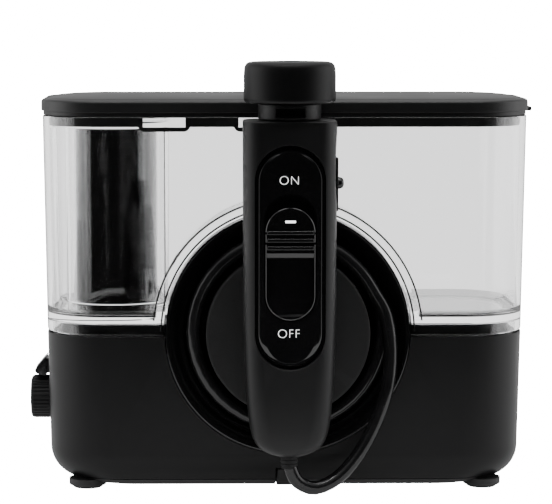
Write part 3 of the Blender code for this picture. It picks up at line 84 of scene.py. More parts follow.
# %% Shared sizes
HALF_WIDE, HALF_DEEP, CORNER = 91.8, 37.5, 24.0
DRAFT = 1.2
BASE_TOP, BASE_SPLIT, BASE_LOW = 60.0, 4.4, 1.8
EDGE_SIDE, EDGE_FRONT = 13.0, 8.0
SEAM, TANK_TOP, TANK_FLARE, TANK_WALL = 60.3, 143.2, 1.3, 2.2
FLOOR_UNDER, FLOOR_TOP = 64.9, 67.1
FRONT = -HALF_DEEP
BAY_X, BAY_Z, BAY_RADIUS = 0.6, 61.6, 46.4
BAY_BACK = FRONT - 0.3 + 28.5
HUB_RADIUS, HUB_FRONT = 31.0, FRONT - 6.2
HANDLE_BACK = HUB_FRONT - 0.3
HANDLE_THICK = 24.0
HANDLE_Y = HANDLE_BACK - HANDLE_THICK / 2
HANDLE_FRONT = HANDLE_BACK - HANDLE_THICK
HANDLE_LOW, HANDLE_TOP = 18.1, 143.2
HOSE_RADIUS, COIL_RADIUS = 2.6, 36.0
DIAL_FACE, DIAL_Z = -99.28, 31.5
HINGE_Y, HINGE_Z, PIN_BORE = HALF_DEEP + TANK_FLARE / 2 + 3.4, TANK_TOP + 1.5, 1.2
print("handle stands", round(-HANDLE_FRONT + FRONT, 1), "mm in front of the body")

# %% [markdown]
# ## The camera
# A long lens from almost a metre away keeps the upright walls parallel, which is how small products are
# usually shot. A slight downward tilt shows the lid's crown, and a small sideways shift frames the object.

# %% Camera
camera_data = bpy.data.cameras.new("product_camera")
camera_data.sensor_width = 36.0
camera_data.lens = 158.5
camera_data.shift_x = 0.0545
camera_data.clip_start, camera_data.clip_end = 0.05, 20.0
camera = bpy.data.objects.new("product_camera", camera_data)
camera.location = at(-28.0, -950.0, 187.0)
camera.rotation_euler = (math.radians(90 - 5.919), 0.0, math.radians(-0.8))
bpy.context.scene.collection.objects.link(camera)
bpy.context.scene.camera = camera
print("camera at", [round(v, 3) for v in camera.location])

# %% [markdown]
# ## The hose's route
# The hose leaves a gland in the back of the bay, is wound four times round the hub with its turns side by
# side, and comes off the top of the winding. From there it drops down the right side, sags into a loop near
# the table and climbs into the lower end of the handle. Its free stretch follows chosen points on one
# smooth curve, and the winding is a plain helix, so its real length comes from simple geometry.

# %% Hose route
COIL_FRONT = BAY_BACK - 2.6 - 1.2 - 4 * 2 * HOSE_RADIUS
TAIL_Y = COIL_FRONT - HOSE_RADIUS - 0.3
TAIL_POINTS = [
    (BAY_X, HANDLE_Y, HANDLE_LOW + 4.0),
    (BAY_X, HANDLE_Y, HANDLE_LOW - 0.6),
    (BAY_X + 0.5, HANDLE_Y, 13.4),
    (BAY_X + 3.4, HANDLE_Y + 0.3, 7.8),
    (BAY_X + 10.0, HANDLE_Y + 2.0, 5.2),
    (BAY_X + 18.4, HANDLE_Y + 5.4, 8.4),
    (BAY_X + 26.5, HANDLE_Y + 9.0, 16.8),
    (BAY_X + 33.2, HANDLE_Y + 12.0, 28.4),
    (BAY_X + 37.6, HANDLE_Y + 13.6, 41.6),
    (BAY_X + 39.0, TAIL_Y - 1.8, 55.0),
    (BAY_X + 37.4, TAIL_Y - 0.4, 68.0),
    (BAY_X + 33.4, TAIL_Y, 75.8),
    (BAY_X + 27.6, TAIL_Y, 84.6),
    (BAY_X + 19.6, TAIL_Y, 91.8),
    (BAY_X + 10.0, TAIL_Y, 96.2),
]
WRAP_START, WRAP_PITCH, WRAPS = math.radians(80), 5.2, 4


def smooth_through(points, per_span):
    """Points on a smooth curve that passes through the given ones."""
    points = [Vector(p) for p in points]
    route = []
    for i in range(len(points) - 1):
        before, here = points[max(i - 1, 0)], points[i]
        there, after = points[i + 1], points[min(i + 2, len(points) - 1)]
        for step in range(per_span):
            t = step / per_span
            bend = (2 * before - 5 * here + 4 * there - after) * t * t
            twist = (3 * here - before - 3 * there + after) * t * t * t
            route.append(0.5 * (2 * here + (there - before) * t + bend + twist))
    return route + [points[-1]]


def winding():
    """The wound part, from the top of the front turn to the gland in the bay's floor."""
    points = []
    for step in range(WRAPS * 40 + 1):
        turn = WRAP_START + 2 * math.pi * step / 40
        y = TAIL_Y + 0.1 + WRAP_PITCH * step / 40
        points.append((BAY_X + COIL_RADIUS * math.cos(turn), y, BAY_Z + COIL_RADIUS * math.sin(turn)))
    last_turn = (
        (110, -15.5), (140, -15.1), (165, -14.8), (185, -14.4), (197, -13.7), (206, -12.6), (213, -11.0),
    )
    for degrees, y in last_turn:
        turn = math.radians(degrees)
        points.append((BAY_X + COIL_RADIUS * math.cos(turn), y, BAY_Z + COIL_RADIUS * math.sin(turn)))
    return points


hose_route = smooth_through(TAIL_POINTS, 3) + [Vector(p) for p in winding()]

# %% [markdown]
# ## Shared surface effects
# Moulded plastic is never one flat value. A mould's texture breaks up the highlight, the gloss wanders a
# little from place to place, handling polishes the edges and a little dust settles on what faces up. Each
# of these is one shader node group with named inputs, so that every material can use it with its own
# values. A group puts out only masks and heights, and the material decides what they do.

# %% Helpers for node groups
def new_group(name, inputs, outputs):
    tree = bpy.data.node_groups.new(name, "ShaderNodeTree")
    for label, default in inputs:
        socket = tree.interface.new_socket(name=label, in_out="INPUT", socket_type="NodeSocketFloat")
        socket.default_value = default
    for label in outputs:
        tree.interface.new_socket(name=label, in_out="OUTPUT", socket_type="NodeSocketFloat")
    return tree, tree.nodes.new("NodeGroupInput"), tree.nodes.new("NodeGroupOutput")


def add_node(tree, kind, **settings):
    node = tree.nodes.new(kind)
    for key, value in settings.items():
        if key in node.inputs.keys():
            node.inputs[key].default_value = value
        else:
            setattr(node, key, value)
    return node


def feed(tree, socket, term):
    """Gives a socket a plain value or another node's output."""
    if isinstance(term, bpy.types.NodeSocket):
        tree.links.new(term, socket)
    else:
        socket.default_value = term


def maths(tree, operation, *terms, **settings):
    node = add_node(tree, "ShaderNodeMath", operation=operation, **settings)
    for socket, term in zip(node.inputs, terms):
        feed(tree, socket, term)
    return node.outputs[0]


def spread(tree, source, low, high, bottom=0.0, top=1.0, **settings):
    """Stretches a part of a value's range, such as the middle of a noise, to another range."""
    node = add_node(tree, "ShaderNodeMapRange", **settings)
    terms = {"Value": source, "From Min": low, "From Max": high, "To Min": bottom, "To Max": top}
    for label, term in terms.items():
        feed(tree, node.inputs[label], term)
    return node.outputs["Result"]


# %% Moulded grain
def build_grain():
    """Fine mould texture: Height for a bump, and a slow mask for the gloss."""
    tree, inside, outside = new_group(
        "moulded_grain", [("Grain Scale", 1800.0), ("Patch Scale", 26.0)], ["Height", "Patches"]
    )
    place = add_node(tree, "ShaderNodeTexCoord")
    grain = add_node(tree, "ShaderNodeTexNoise", Detail=3.0, Roughness=0.6)
    patches = add_node(tree, "ShaderNodeTexNoise", Detail=2.0)
    for node, socket in ((grain, "Grain Scale"), (patches, "Patch Scale")):
        tree.links.new(place.outputs["Object"], node.inputs["Vector"])
        tree.links.new(inside.outputs[socket], node.inputs["Scale"])
    tree.links.new(grain.outputs["Fac"], outside.inputs["Height"])
    tree.links.new(spread(tree, patches.outputs["Fac"], 0.32, 0.68), outside.inputs["Patches"])
    return tree


# %% Polished edges
def build_edges():
    """Where a hard edge has been rubbed: 1 on the edge, broken up by noise."""
    tree, inside, outside = new_group("rubbed_edges", [("Reach", 0.06), ("Break Up", 0.5)], ["Edge"])
    shape = add_node(tree, "ShaderNodeNewGeometry")
    place = add_node(tree, "ShaderNodeTexCoord")
    noise = add_node(tree, "ShaderNodeTexNoise", Scale=240.0, Detail=2.0)
    tree.links.new(place.outputs["Object"], noise.inputs["Vector"])
    high = maths(tree, "ADD", 0.5, inside.outputs["Reach"])
    sharp = spread(tree, shape.outputs["Pointiness"], 0.5, high)
    fade = maths(tree, "MULTIPLY", noise.outputs["Fac"], inside.outputs["Break Up"])
    keep = maths(tree, "SUBTRACT", 1.0, fade, use_clamp=True)
    tree.links.new(maths(tree, "MULTIPLY", sharp, keep), outside.inputs["Edge"])
    return tree


# %% Settled dust
def build_dust():
    """Faint specks, more of them on faces that look up."""
    tree, inside, outside = new_group("settled_dust", [("Speck Scale", 900.0), ("Amount", 0.3)], ["Dust"])
    place = add_node(tree, "ShaderNodeTexCoord")
    shape = add_node(tree, "ShaderNodeNewGeometry")
    parts = add_node(tree, "ShaderNodeSeparateXYZ")
    specks = add_node(tree, "ShaderNodeTexNoise", Detail=4.0, Roughness=0.75)
    tree.links.new(place.outputs["Object"], specks.inputs["Vector"])
    tree.links.new(inside.outputs["Speck Scale"], specks.inputs["Scale"])
    tree.links.new(shape.outputs["Normal"], parts.inputs["Vector"])
    upward = spread(tree, parts.outputs["Z"], -0.6, 1.0, 0.15)
    lot = maths(tree, "MULTIPLY", spread(tree, specks.outputs["Fac"], 0.55, 0.78), upward)
    tree.links.new(maths(tree, "MULTIPLY", lot, inside.outputs["Amount"]), outside.inputs["Dust"])
    return tree


GRAIN, EDGES, DUST = build_grain(), build_edges(), build_dust()
print("effects:", GRAIN.name, EDGES.name, DUST.name)

# %% [markdown]
# ## The plastics
# Nearly everything here is black plastic, and what tells the pieces apart is their surface: the base is
# satin with a fine spark-eroded grain, the hub is coarser and more matte, and the control panel is
# polished. One function builds them all from the three effects. Single numbers sit on the shader's own
# sockets, and only what changes over the surface comes through nodes.

# %% Opaque plastic
def group_node(tree, group, **values):
    node = tree.nodes.new("ShaderNodeGroup")
    node.node_tree = group
    for key, value in values.items():
        node.inputs[key.replace("_", " ")].default_value = value
    return node


def blend_colour(tree, mask, first, second):
    """Mixes two colours by a mask. Each is a plain colour or another node's output."""
    node = add_node(tree, "ShaderNodeMix", data_type="RGBA")
    sockets = [socket for socket in node.inputs if socket.type == "RGBA"]
    for socket, colour in zip(sockets, (first, second)):
        feed(tree, socket, colour if isinstance(colour, bpy.types.NodeSocket) else (*colour, 1.0))
    tree.links.new(mask, node.inputs["Factor"])
    return next(out for out in node.outputs if out.type == "RGBA")


def new_material(name):
    made = bpy.data.materials.new(name)
    made.use_nodes = True
    return made, made.node_tree, made.node_tree.nodes["Principled BSDF"]


def vary_gloss(tree, shader, mask, rough):
    """Lets the roughness wander between its lowest and its highest value."""
    tree.links.new(spread(tree, mask, 0.0, 1.0, *rough), shader.inputs["Roughness"])


def add_bump(tree, shader, height, depth, strength=1.0):
    bump = add_node(tree, "ShaderNodeBump", Strength=strength, Distance=depth)
    tree.links.new(height, bump.inputs["Height"])
    tree.links.new(bump.outputs["Normal"], shader.inputs["Normal"])


def moulded(
    name, colour, rough, grain=1800.0, depth=0.00002, edge=0.35, dust=0.25, coat=0.0, metallic=0.0, shine=0.5
):
    """A moulded plastic: rough is its lowest and highest roughness, depth the bump's height in metres."""
    made, tree, shader = new_material(name)
    shader.inputs["Metallic"].default_value = metallic
    shader.inputs["Specular IOR Level"].default_value = shine
    shader.inputs["Coat Weight"].default_value = coat
    shader.inputs["Coat Roughness"].default_value = 0.05
    texture = group_node(tree, GRAIN, Grain_Scale=grain)
    rubbed = group_node(tree, EDGES)
    settled = group_node(tree, DUST, Amount=dust)
    share = maths(tree, "MULTIPLY_ADD", rubbed.outputs["Edge"], edge, settled.outputs["Dust"], use_clamp=True)
    light = tuple(min(1.0, channel * 2.2 + 0.02) for channel in colour)
    base = blend_colour(tree, texture.outputs["Patches"], colour, tuple(c * 1.25 for c in colour))
    worn = blend_colour(tree, share, base, light)
    tree.links.new(worn, shader.inputs["Base Color"])
    vary_gloss(tree, shader, texture.outputs["Patches"], rough)
    add_bump(tree, shader, texture.outputs["Height"], depth)
    return made


SATIN_SHELL = moulded(
    "satin_shell", (0.0042, 0.0042, 0.0045), (0.36, 0.44), 2400, 0.000012, 0.15, 0.1, shine=0.24
)
LID_SATIN = moulded("lid_satin", (0.0075, 0.0075, 0.0078), (0.36, 0.46), 1500, 0.00002, 0.2, 0.15, shine=0.5)
KNOB_SATIN = moulded("knob_satin", (0.0045, 0.0045, 0.0048), (0.36, 0.44), 2200, 0.00001, 0.2, 0.1, shine=0.2)
HANDLE_SATIN = moulded(
    "handle_satin", (0.006, 0.006, 0.0063), (0.36, 0.44), 2600, 0.00001, 0.2, 0.1, shine=0.3
)
HUB_GRAIN = moulded("hub_grain", (0.009, 0.009, 0.0093), (0.5, 0.6), 1100, 0.00006, 0.15, 0.2, shine=0.4)
UNDERSIDE = moulded("underside_matte", (0.012, 0.012, 0.0125), (0.55, 0.65), 1400, 0.00004)
PANEL_GLOSS = moulded(
    "panel_gloss", (0.0035, 0.0035, 0.0038), (0.1, 0.16), 3000, 0.000002, 0.1, 0.05, coat=0.4
)
BAY_GLOSS = moulded("bay_gloss", (0.004, 0.004, 0.0043), (0.08, 0.14), 2200, 0.000003, 0.1, 0.1, shine=0.7)
CASE_SATIN = moulded("case_satin", (0.004, 0.004, 0.0043), (0.03, 0.06), 2000, 0.000001, 0.02, 0.0)
BUTTON_GLOSS = moulded("button_gloss", (0.005, 0.005, 0.0053), (0.12, 0.2), 2600, 0.000004, 0.2, 0.1)
RUBBER = moulded("foot_rubber", (0.01, 0.01, 0.0105), (0.6, 0.72), 1300, 0.00003, 0.2, 0.5, shine=0.3)
GUIDE_BLACK = moulded("guide_black", (0.008, 0.008, 0.0083), (0.4, 0.5), 2000, 0.00001)
NYLON = moulded("white_nylon", (0.62, 0.62, 0.59), (0.34, 0.46), 1500, 0.00001, 0.1, 0.1)
TIP_WHITE = moulded("tip_white", (0.7, 0.72, 0.73), (0.2, 0.28), 2200, 0.000004, 0.1, 0.05)
STEEL = moulded("turned_steel", (0.52, 0.52, 0.53), (0.22, 0.36), 3200, 0.000006, 0.2, 0.1, metallic=1.0)
MOTOR_CAN = moulded("motor_can", (0.42, 0.42, 0.44), (0.3, 0.45), 1800, 0.00001, 0.2, 0.2, metallic=1.0)
CELL_WRAP = moulded("cell_wrap", (0.05, 0.11, 0.2), (0.3, 0.4), 1500, 0.00001)
print("plastics and metals:", len(bpy.data.materials))

# %% [markdown]
# ## The hose's vinyl
# Extruded vinyl has no mould grain. It has faint drawing lines along it and a semi-gloss skin. The hose's
# mesh carries its own two coordinates, along and around, so the lines follow every bend.

# %% Hose vinyl
def hose_vinyl():
    made, tree, shader = new_material("hose_vinyl")
    place = add_node(tree, "ShaderNodeUVMap", uv_map="along")
    stretch = add_node(tree, "ShaderNodeMapping")
    stretch.inputs["Scale"].default_value = (3.0, 60.0, 1.0)
    lines = add_node(tree, "ShaderNodeTexNoise", Scale=1.0, Detail=3.0)
    tree.links.new(place.outputs["UV"], stretch.inputs["Vector"])
    tree.links.new(stretch.outputs["Vector"], lines.inputs["Vector"])
    texture = group_node(tree, GRAIN, Grain_Scale=900.0, Patch_Scale=90.0)
    colour = blend_colour(tree, texture.outputs["Patches"], (0.008, 0.008, 0.0085), (0.014, 0.014, 0.0145))
    tree.links.new(colour, shader.inputs["Base Color"])
    vary_gloss(tree, shader, lines.outputs["Fac"], (0.12, 0.24))
    add_bump(tree, shader, lines.outputs["Fac"], 0.00002, 0.6)
    return made


HOSE_VINYL = hose_vinyl()
print("made", HOSE_VINYL.name)

# %% [markdown]
# ## The clear reservoir's plastic
# The reservoir is thick clear plastic with a faint grey tint. It is a solid wall with two skins, so
# refraction makes bright and dark lines along its edges by itself. Where a wall is seen edge on, its colour
# is darkened by the view angle. This is a painted shade for the longer way the light has to go in it. The
# roughness shows faint handling marks. The second material is the same plastic, nearly black, a painted
# shade that draws the rounded edges and the fine beads as dark lines.

# %% Clear plastic
def clear_plastic(name, tint_and_shade, edge_on_shade, rough=(0.0, 0.02)):
    """Clear plastic with a painted shade where its walls are seen edge on."""
    made, tree, shader = new_material(name)
    shader.inputs["IOR"].default_value = 1.49
    shader.inputs["Transmission Weight"].default_value = 1.0
    texture = group_node(tree, GRAIN, Grain_Scale=500.0, Patch_Scale=40.0)
    vary_gloss(tree, shader, texture.outputs["Patches"], rough)
    seen = add_node(tree, "ShaderNodeLayerWeight")
    # Walls seen edge on are given a darker colour, which is painted shade.
    edge_on = spread(tree, seen.outputs["Facing"], 0.84, 0.95)
    colour = blend_colour(tree, edge_on, tint_and_shade, edge_on_shade)
    tree.links.new(colour, shader.inputs["Base Color"])
    return made


CLEAR_TANK = clear_plastic("clear_tank", (0.915, 0.915, 0.917), (0.05, 0.05, 0.052))
# Nearly black clear plastic is a painted shade that draws the rounded edges and the beads as dark lines.
CLEAR_EDGE_SHADE = clear_plastic("clear_tank_edge", (0.02, 0.02, 0.02), (0.01, 0.01, 0.01), (0.1, 0.2))
print("made", CLEAR_TANK.name, "and", CLEAR_EDGE_SHADE.name)

# %% [markdown]
# ## Print and circuit board
# The two words on the panel are pad printed in white ink, which is a little uneven, and the ink glows a
# little, which is a painted brightness. The circuit board is green solder mask over copper, with pale tracks
# laid out on a grid.

# %% Ink and board
GLOWING_WHITE_INK = moulded("white_ink", (0.8, 0.8, 0.8), (0.4, 0.55), 3000, 0.000003, 0.0, 0.0)
ink_glow_shader = GLOWING_WHITE_INK.node_tree.nodes["Principled BSDF"]
# Emission makes the ink glow. This is a painted brightness, as if a light fell full on the print.
ink_glow_shader.inputs["Emission Color"].default_value = (1.0, 1.0, 1.0, 1.0)
ink_glow_shader.inputs["Emission Strength"].default_value = 3.0


def board_mask():
    mask_green = (0.012, 0.09, 0.035)
    made = moulded("solder_mask", mask_green, (0.25, 0.35), 1500, 0.00001)
    tree = made.node_tree
    shader = tree.nodes["Principled BSDF"]
    place = add_node(tree, "ShaderNodeTexCoord")
    turn = add_node(tree, "ShaderNodeMapping")
    turn.inputs["Rotation"].default_value = (0.0, math.radians(90), 0.0)
    tracks = add_node(tree, "ShaderNodeTexBrick", Scale=90.0)
    tracks.inputs["Color1"].default_value = (*mask_green, 1.0)
    tracks.inputs["Color2"].default_value = (0.01, 0.075, 0.03, 1.0)
    tracks.inputs["Mortar"].default_value = (0.05, 0.2, 0.08, 1.0)
    tracks.inputs["Mortar Size"].default_value = 0.03
    tree.links.new(place.outputs["Object"], turn.inputs["Vector"])
    tree.links.new(turn.outputs["Vector"], tracks.inputs["Vector"])
    tree.links.new(tracks.outputs["Color"], shader.inputs["Base Color"])
    return made


BOARD = board_mask()
print("made", GLOWING_WHITE_INK.name, "and", BOARD.name)

# %% [markdown]
# ## Making solids
# Three ways of making a solid cover nearly every piece here. A loft joins level outlines, which suits the
# body, the lid and the handle. A turned shape spins a profile round an axis, which suits the hub, the knob
# and the feet. A cut takes one solid out of another. Each result is left as a plain mesh whose place is in
# its points.

# %% Outlines and lofts
def outline(half_x, half_y, corner, per_corner=20):
    """Points round a rectangle with round corners, anticlockwise."""
    corner = max(0.05, min(corner, half_x - 0.01, half_y - 0.01))
    points = []
    for quarter, (sx, sy) in enumerate(((1, 1), (-1, 1), (-1, -1), (1, -1))):
        middle_x, middle_y = sx * (half_x - corner), sy * (half_y - corner)
        for step in range(per_corner):
            turn = math.pi / 2 * (quarter + step / (per_corner - 1))
            points.append((middle_x + corner * math.cos(turn), middle_y + corner * math.sin(turn)))
    return points


def level(half_x, half_y, corner, z, centre=(0.0, 0.0), per_corner=20):
    return [at(x + centre[0], y + centre[1], z) for x, y in outline(half_x, half_y, corner, per_corner)]


def upright(half_x, low, top, y, per_corner=24):
    """A slot-shaped outline with round ends that faces the front."""
    middle = (low + top) / 2
    shape = outline(half_x, (top - low) / 2, half_x, per_corner)
    return [at(x + BAY_X, y, z + middle) for x, z in shape]


def mesh_from(bm, name):
    bmesh.ops.recalc_face_normals(bm, faces=bm.faces)
    mesh = bpy.data.meshes.new(name)
    bm.to_mesh(mesh)
    bm.free()
    return mesh


def loft(name, rings):
    """A closed solid through rings with the same number of points."""
    bm = bmesh.new()
    rows = [[bm.verts.new(point) for point in ring] for ring in rings]
    count = len(rows[0])
    for lower, upper in zip(rows, rows[1:]):
        for i in range(count):
            bm.faces.new((lower[i], lower[(i + 1) % count], upper[(i + 1) % count], upper[i]))
    bm.faces.new(rows[0])
    bm.faces.new(rows[-1])
    return mesh_from(bm, name)


# %% Turned shapes
def axis_place(centre, axis, radius, turn, along):
    across, up = radius * math.cos(turn), radius * math.sin(turn)
    x, y, z = centre
    if axis == "Z":
        return at(x + across, y + up, z + along)
    if axis == "Y":
        return at(x + across, y + along, z + up)
    return at(x + along, y + across, z + up)


def turned(name, profile, centre, axis, steps=96, ring=False):
    """Spins (radius, place along the axis) pairs. A radius of nought is a point on the axis."""
    bm = bmesh.new()
    rows = []
    for radius, along in profile:
        turns = [0.0] if radius == 0 else [2 * math.pi * i / steps for i in range(steps)]
        rows.append([bm.verts.new(axis_place(centre, axis, radius, turn, along)) for turn in turns])
    pairs = list(zip(rows, rows[1:])) + ([(rows[-1], rows[0])] if ring else [])
    for first, second in pairs:
        for i in range(steps):
            j = (i + 1) % steps
            one, two = len(first), len(second)
            corners = (first[i % one], first[j % one], second[j % two], second[i % two])
            unique = list(dict.fromkeys(corners))
            if len(unique) > 2:
                bm.faces.new(unique)
    return mesh_from(bm, name)


def rod(name, radius, long, start, axis, steps):
    """A plain round bar from its start along an axis, to join to a piece or to bore it with."""
    return turned(name, [(0, long), (radius, long), (radius, 0), (0, 0)], start, axis, steps)


def block(name, low, high, round_by=0.0, segments=3):
    """A box with rounded edges, between two corners in millimetres."""
    bm = bmesh.new()
    bmesh.ops.create_cube(bm, size=1.0)
    size = [h - l for l, h in zip(low, high)]
    middle = at(*[(h + l) / 2 for l, h in zip(low, high)])
    bmesh.ops.scale(bm, vec=Vector(size) * MM, verts=bm.verts)
    bmesh.ops.translate(bm, vec=middle, verts=bm.verts)
    if round_by:
        bmesh.ops.bevel(
            bm, geom=bm.edges[:], offset=round_by * MM, segments=segments, affect="EDGES", profile=0.5
        )
    return mesh_from(bm, name)


# %% Finishing a piece
def place(name, mesh, finish):
    obj = bpy.data.objects.new(name, mesh)
    bpy.context.scene.collection.objects.link(obj)
    mesh.materials.clear()
    mesh.materials.append(finish)
    return obj


def bake(obj):
    """Turns the evaluated result into a plain mesh and drops the modifiers."""
    bpy.context.view_layer.update()
    graph = bpy.context.evaluated_depsgraph_get()
    made = bpy.data.meshes.new_from_object(obj.evaluated_get(graph))
    obj.modifiers.clear()
    obj.data = made
    return obj


def carve(obj, meshes, operation="DIFFERENCE"):
    """Cuts with, or joins to, each of the meshes in turn."""
    tools = []
    for number, mesh in enumerate(meshes):
        tool = bpy.data.objects.new(f"{obj.name}_tool_{number}", mesh)
        bpy.context.scene.collection.objects.link(tool)
        tools.append(tool)
        step = obj.modifiers.new(tool.name, "BOOLEAN")
        step.operation, step.solver, step.object = operation, "EXACT", tool
    bake(obj)
    for tool in tools:
        bpy.data.objects.remove(tool, do_unlink=True)
    return obj


def settle(obj, body, *nodes, sharp=30.0, soften=0.0):
    """Rounds the hard edges if asked, evens the shading, and hands the piece to its body.

    A rounded edge takes the piece's last material.
    """
    if soften:
        edge = obj.modifiers.new("soft_edges", "BEVEL")
        edge.width, edge.segments = soften * MM, 2
        edge.material = len(obj.data.materials) - 1
        edge.limit_method, edge.angle_limit = "ANGLE", math.radians(40)
        bake(obj)
    obj.data.shade_smooth()
    obj.data.set_sharp_from_angle(angle=math.radians(sharp))
    even = obj.modifiers.new("even_shading", "WEIGHTED_NORMAL")
    even.keep_sharp, even.weight = True, 80
    bake(obj)
    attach(obj, body)
    if nodes:
        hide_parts(*nodes)
    return obj


print("solid makers ready")

# %% [markdown]
# ## The hose
# A hose is a round section swept along its route. A curve object would do, but the handle pulls off the
# base on its magnet and the hose has to stretch between the two, so it is made as a mesh tube. Its rings
# get two coordinates of their own for the vinyl's drawing lines.

# %% Hose
def swept(name, points, radius_at, sides=16):
    """A tube of rings square to the route, without twist, with along and around coordinates."""
    bm = bmesh.new()
    layer = bm.loops.layers.uv.new("along")
    points = [Vector(p) for p in points]
    aside = Vector((1.0, 0.0, 0.0))
    rows, run, travelled = [], [], 0.0
    for i, point in enumerate(points):
        ahead = (points[min(i + 1, len(points) - 1)] - points[max(i - 1, 0)]).normalized()
        aside = (aside - ahead * aside.dot(ahead)).normalized()
        other = ahead.cross(aside)
        if i:
            travelled += (point - points[i - 1]).length
        run.append(travelled * MM)
        ring = []
        for k in range(sides):
            turn = 2 * math.pi * k / sides
            out = (aside * math.cos(turn) + other * math.sin(turn)) * radius_at(i)
            ring.append(bm.verts.new(at(*(point + out))))
        rows.append(ring)
    for i in range(len(rows) - 1):
        for k in range(sides):
            corners = (rows[i][k], rows[i][(k + 1) % sides], rows[i + 1][(k + 1) % sides], rows[i + 1][k])
            face = bm.faces.new(corners)
            places = ((i, k), (i, k + 1), (i + 1, k + 1), (i + 1, k))
            for loop, (row, around) in zip(face.loops, places):
                loop[layer].uv = (run[row] * 10, around / sides)
    bm.faces.new(rows[0])
    bm.faces.new(rows[-1])
    return mesh_from(bm, name)


hose = place("hose", swept("hose", hose_route, lambda i: HOSE_RADIUS), HOSE_VINYL)
hose.data.shade_smooth()
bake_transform(hose)
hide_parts("hose_coil", "hose_tail")
print("hose faces:", len(hose.data.polygons))

# %% Hose boot at the bay's floor
boot_route = hose_route[-5:]
boot = place("hose_boot", swept("hose_boot", boot_route, lambda i: 2.75 + 0.2 * i), RUBBER)
settle(boot, "base")
boot_length = sum((b - a).length for a, b in zip(boot_route, boot_route[1:]))
print("boot length in mm:", round(boot_length, 1))

# %% [markdown]
# ## The base's housing
# The base is one deep shell. Its lower edge is rolled, tighter at the front than at the sides, and its top
# is a raised deck that the reservoir's skirt drops over. A loft of level outlines follows all of that, and
# the round bay, the control holes and the small notch in front are cut out of it afterwards.

# %% Base housing
def rolled_edge(z):
    rise = min(max(z - BASE_LOW, 0.0), EDGE_SIDE)
    share = 1 - math.sqrt(max(0.0, 1 - (1 - rise / EDGE_SIDE) ** 2))
    return share * EDGE_SIDE, share * EDGE_FRONT


def body_level(z, inset=0.0):
    lean = DRAFT * (BASE_TOP - z) / BASE_TOP
    side, front = rolled_edge(z)
    half_x = HALF_WIDE - lean - side - inset
    half_y = HALF_DEEP - lean / 2 - front - inset
    return level(half_x, half_y, CORNER - inset, z)


def roll_heights(low):
    heights = [BASE_LOW + EDGE_SIDE * (1 - math.cos(math.radians(6 * step))) for step in range(16)]
    return [low] + [z for z in heights if z > low + 0.2]


DECK_TOP = 64.2
DECK_IN = 5.0
SHELL_WALL = 2.4


def deck_level(inset, z):
    return level(HALF_WIDE - inset, HALF_DEEP - inset, CORNER - inset, z)


walls = roll_heights(BASE_SPLIT + 0.3)
deck = [
    deck_level(DECK_IN + 1.2, DECK_TOP),
    deck_level(DECK_IN + 0.4, DECK_TOP - 0.25),
    deck_level(DECK_IN, DECK_TOP - 0.9),
    deck_level(DECK_IN, BASE_TOP + 0.02),
    deck_level(0.6, BASE_TOP),
    deck_level(0.18, BASE_TOP - 0.18),
    body_level(BASE_TOP - 0.6),
]
outer = [body_level(z) for z in reversed(walls)]
inner = [body_level(z, SHELL_WALL) for z in walls + [BASE_TOP - SHELL_WALL]]
housing = place("base_housing", loft("base_housing", deck + outer + inner), SATIN_SHELL)
side_x = -(HALF_WIDE - DRAFT * 0.6)
carve(
    housing,
    [
        rod("bay_hole", BAY_RADIUS + 0.3, BAY_BACK + 60.3, (BAY_X, -60, BAY_Z), "Y", 160),
        rod("dial_hole", 2.4, 12, (side_x - 5, 0, DIAL_Z), "X", 32),
        block("button_hole", (side_x - 5, -5.2, 41.1), (side_x + 8, 5.2, 47.6)),
        rod("nipple_hole", 4.3, 20, (0, 20, BASE_TOP - 10), "Z", 48),
        rod("charge_hole", 3.4, 16, (4, HALF_DEEP - 8, 20), "Y", 48),
        block("guide_notch", (-3.9, FRONT - 5, -1), (3.1, FRONT + 12, 9.3)),
    ],
)
settle(housing, "base", "base_shell", sharp=35)
print("base housing faces:", len(housing.data.polygons))

# %% [markdown]
# ## The bottom plate, its screws and the feet
# The plate closes the base from below. Four screws hold it, each in its own counterbore. They repeat, so a
# small Geometry Nodes tree sets one screw head on each of a few points, and the tree's result is made a
# plain mesh.

# %% Bottom plate
plate_heights = [BASE_SPLIT, 3.9, 3.4, 2.9, 2.5, 2.1, BASE_LOW]
plate = place("bottom_cover", loft("bottom_cover", [body_level(z) for z in plate_heights]), UNDERSIDE)
FOOT_PLACES = [(-76.1, -24.0), (76.1, -24.0), (-76.1, 24.0), (76.1, 24.0)]
SCREW_PLACES = [(-48.0, -21.0), (48.0, -21.0), (-48.0, 21.0), (48.0, 21.0)]
bosses = []
pockets = []
for number, (x, y) in enumerate(FOOT_PLACES):
    profile = [(0, 3.7), (7.2, 3.7), (7.2, 1.4), (6.9, 1.1), (0, 1.1)]
    bosses.append(turned(f"foot_boss_{number}", profile, (x, y, 0), "Z", 64))
    pockets.append(rod(f"foot_pocket_{number}", 6.2, 3.4, (x, y, -1), "Z", 64))
for number, (x, y) in enumerate(SCREW_PLACES):
    pockets.append(rod(f"screw_pocket_{number}", 3.3, 4.4, (x, y, -1), "Z", 40))
carve(plate, bosses, "UNION")
carve(plate, pockets + [block("plate_notch", (-3.9, FRONT - 5, -1), (3.1, FRONT + 12, 9))])
settle(plate, "base", "bottom_plate", sharp=35)
print("bottom cover faces:", len(plate.data.polygons))

# %% Rubber feet
FOOT_NAMES = ["foot_front_left", "foot_front_right", "foot_rear_left", "foot_rear_right"]
for (x, y), node in zip(FOOT_PLACES, FOOT_NAMES):
    profile = [(0, 2.1), (5.9, 2.1), (5.9, 0.7), (5.7, 0.3), (5.2, 0.0), (4.2, 0.0), (3.9, 0.25), (0, 0.25)]
    foot = place(f"rubber_{node}", turned(node, profile, (x, y, 0), "Z", 64), RUBBER)
    settle(foot, "base", node)
print("feet:", len(FOOT_NAMES))


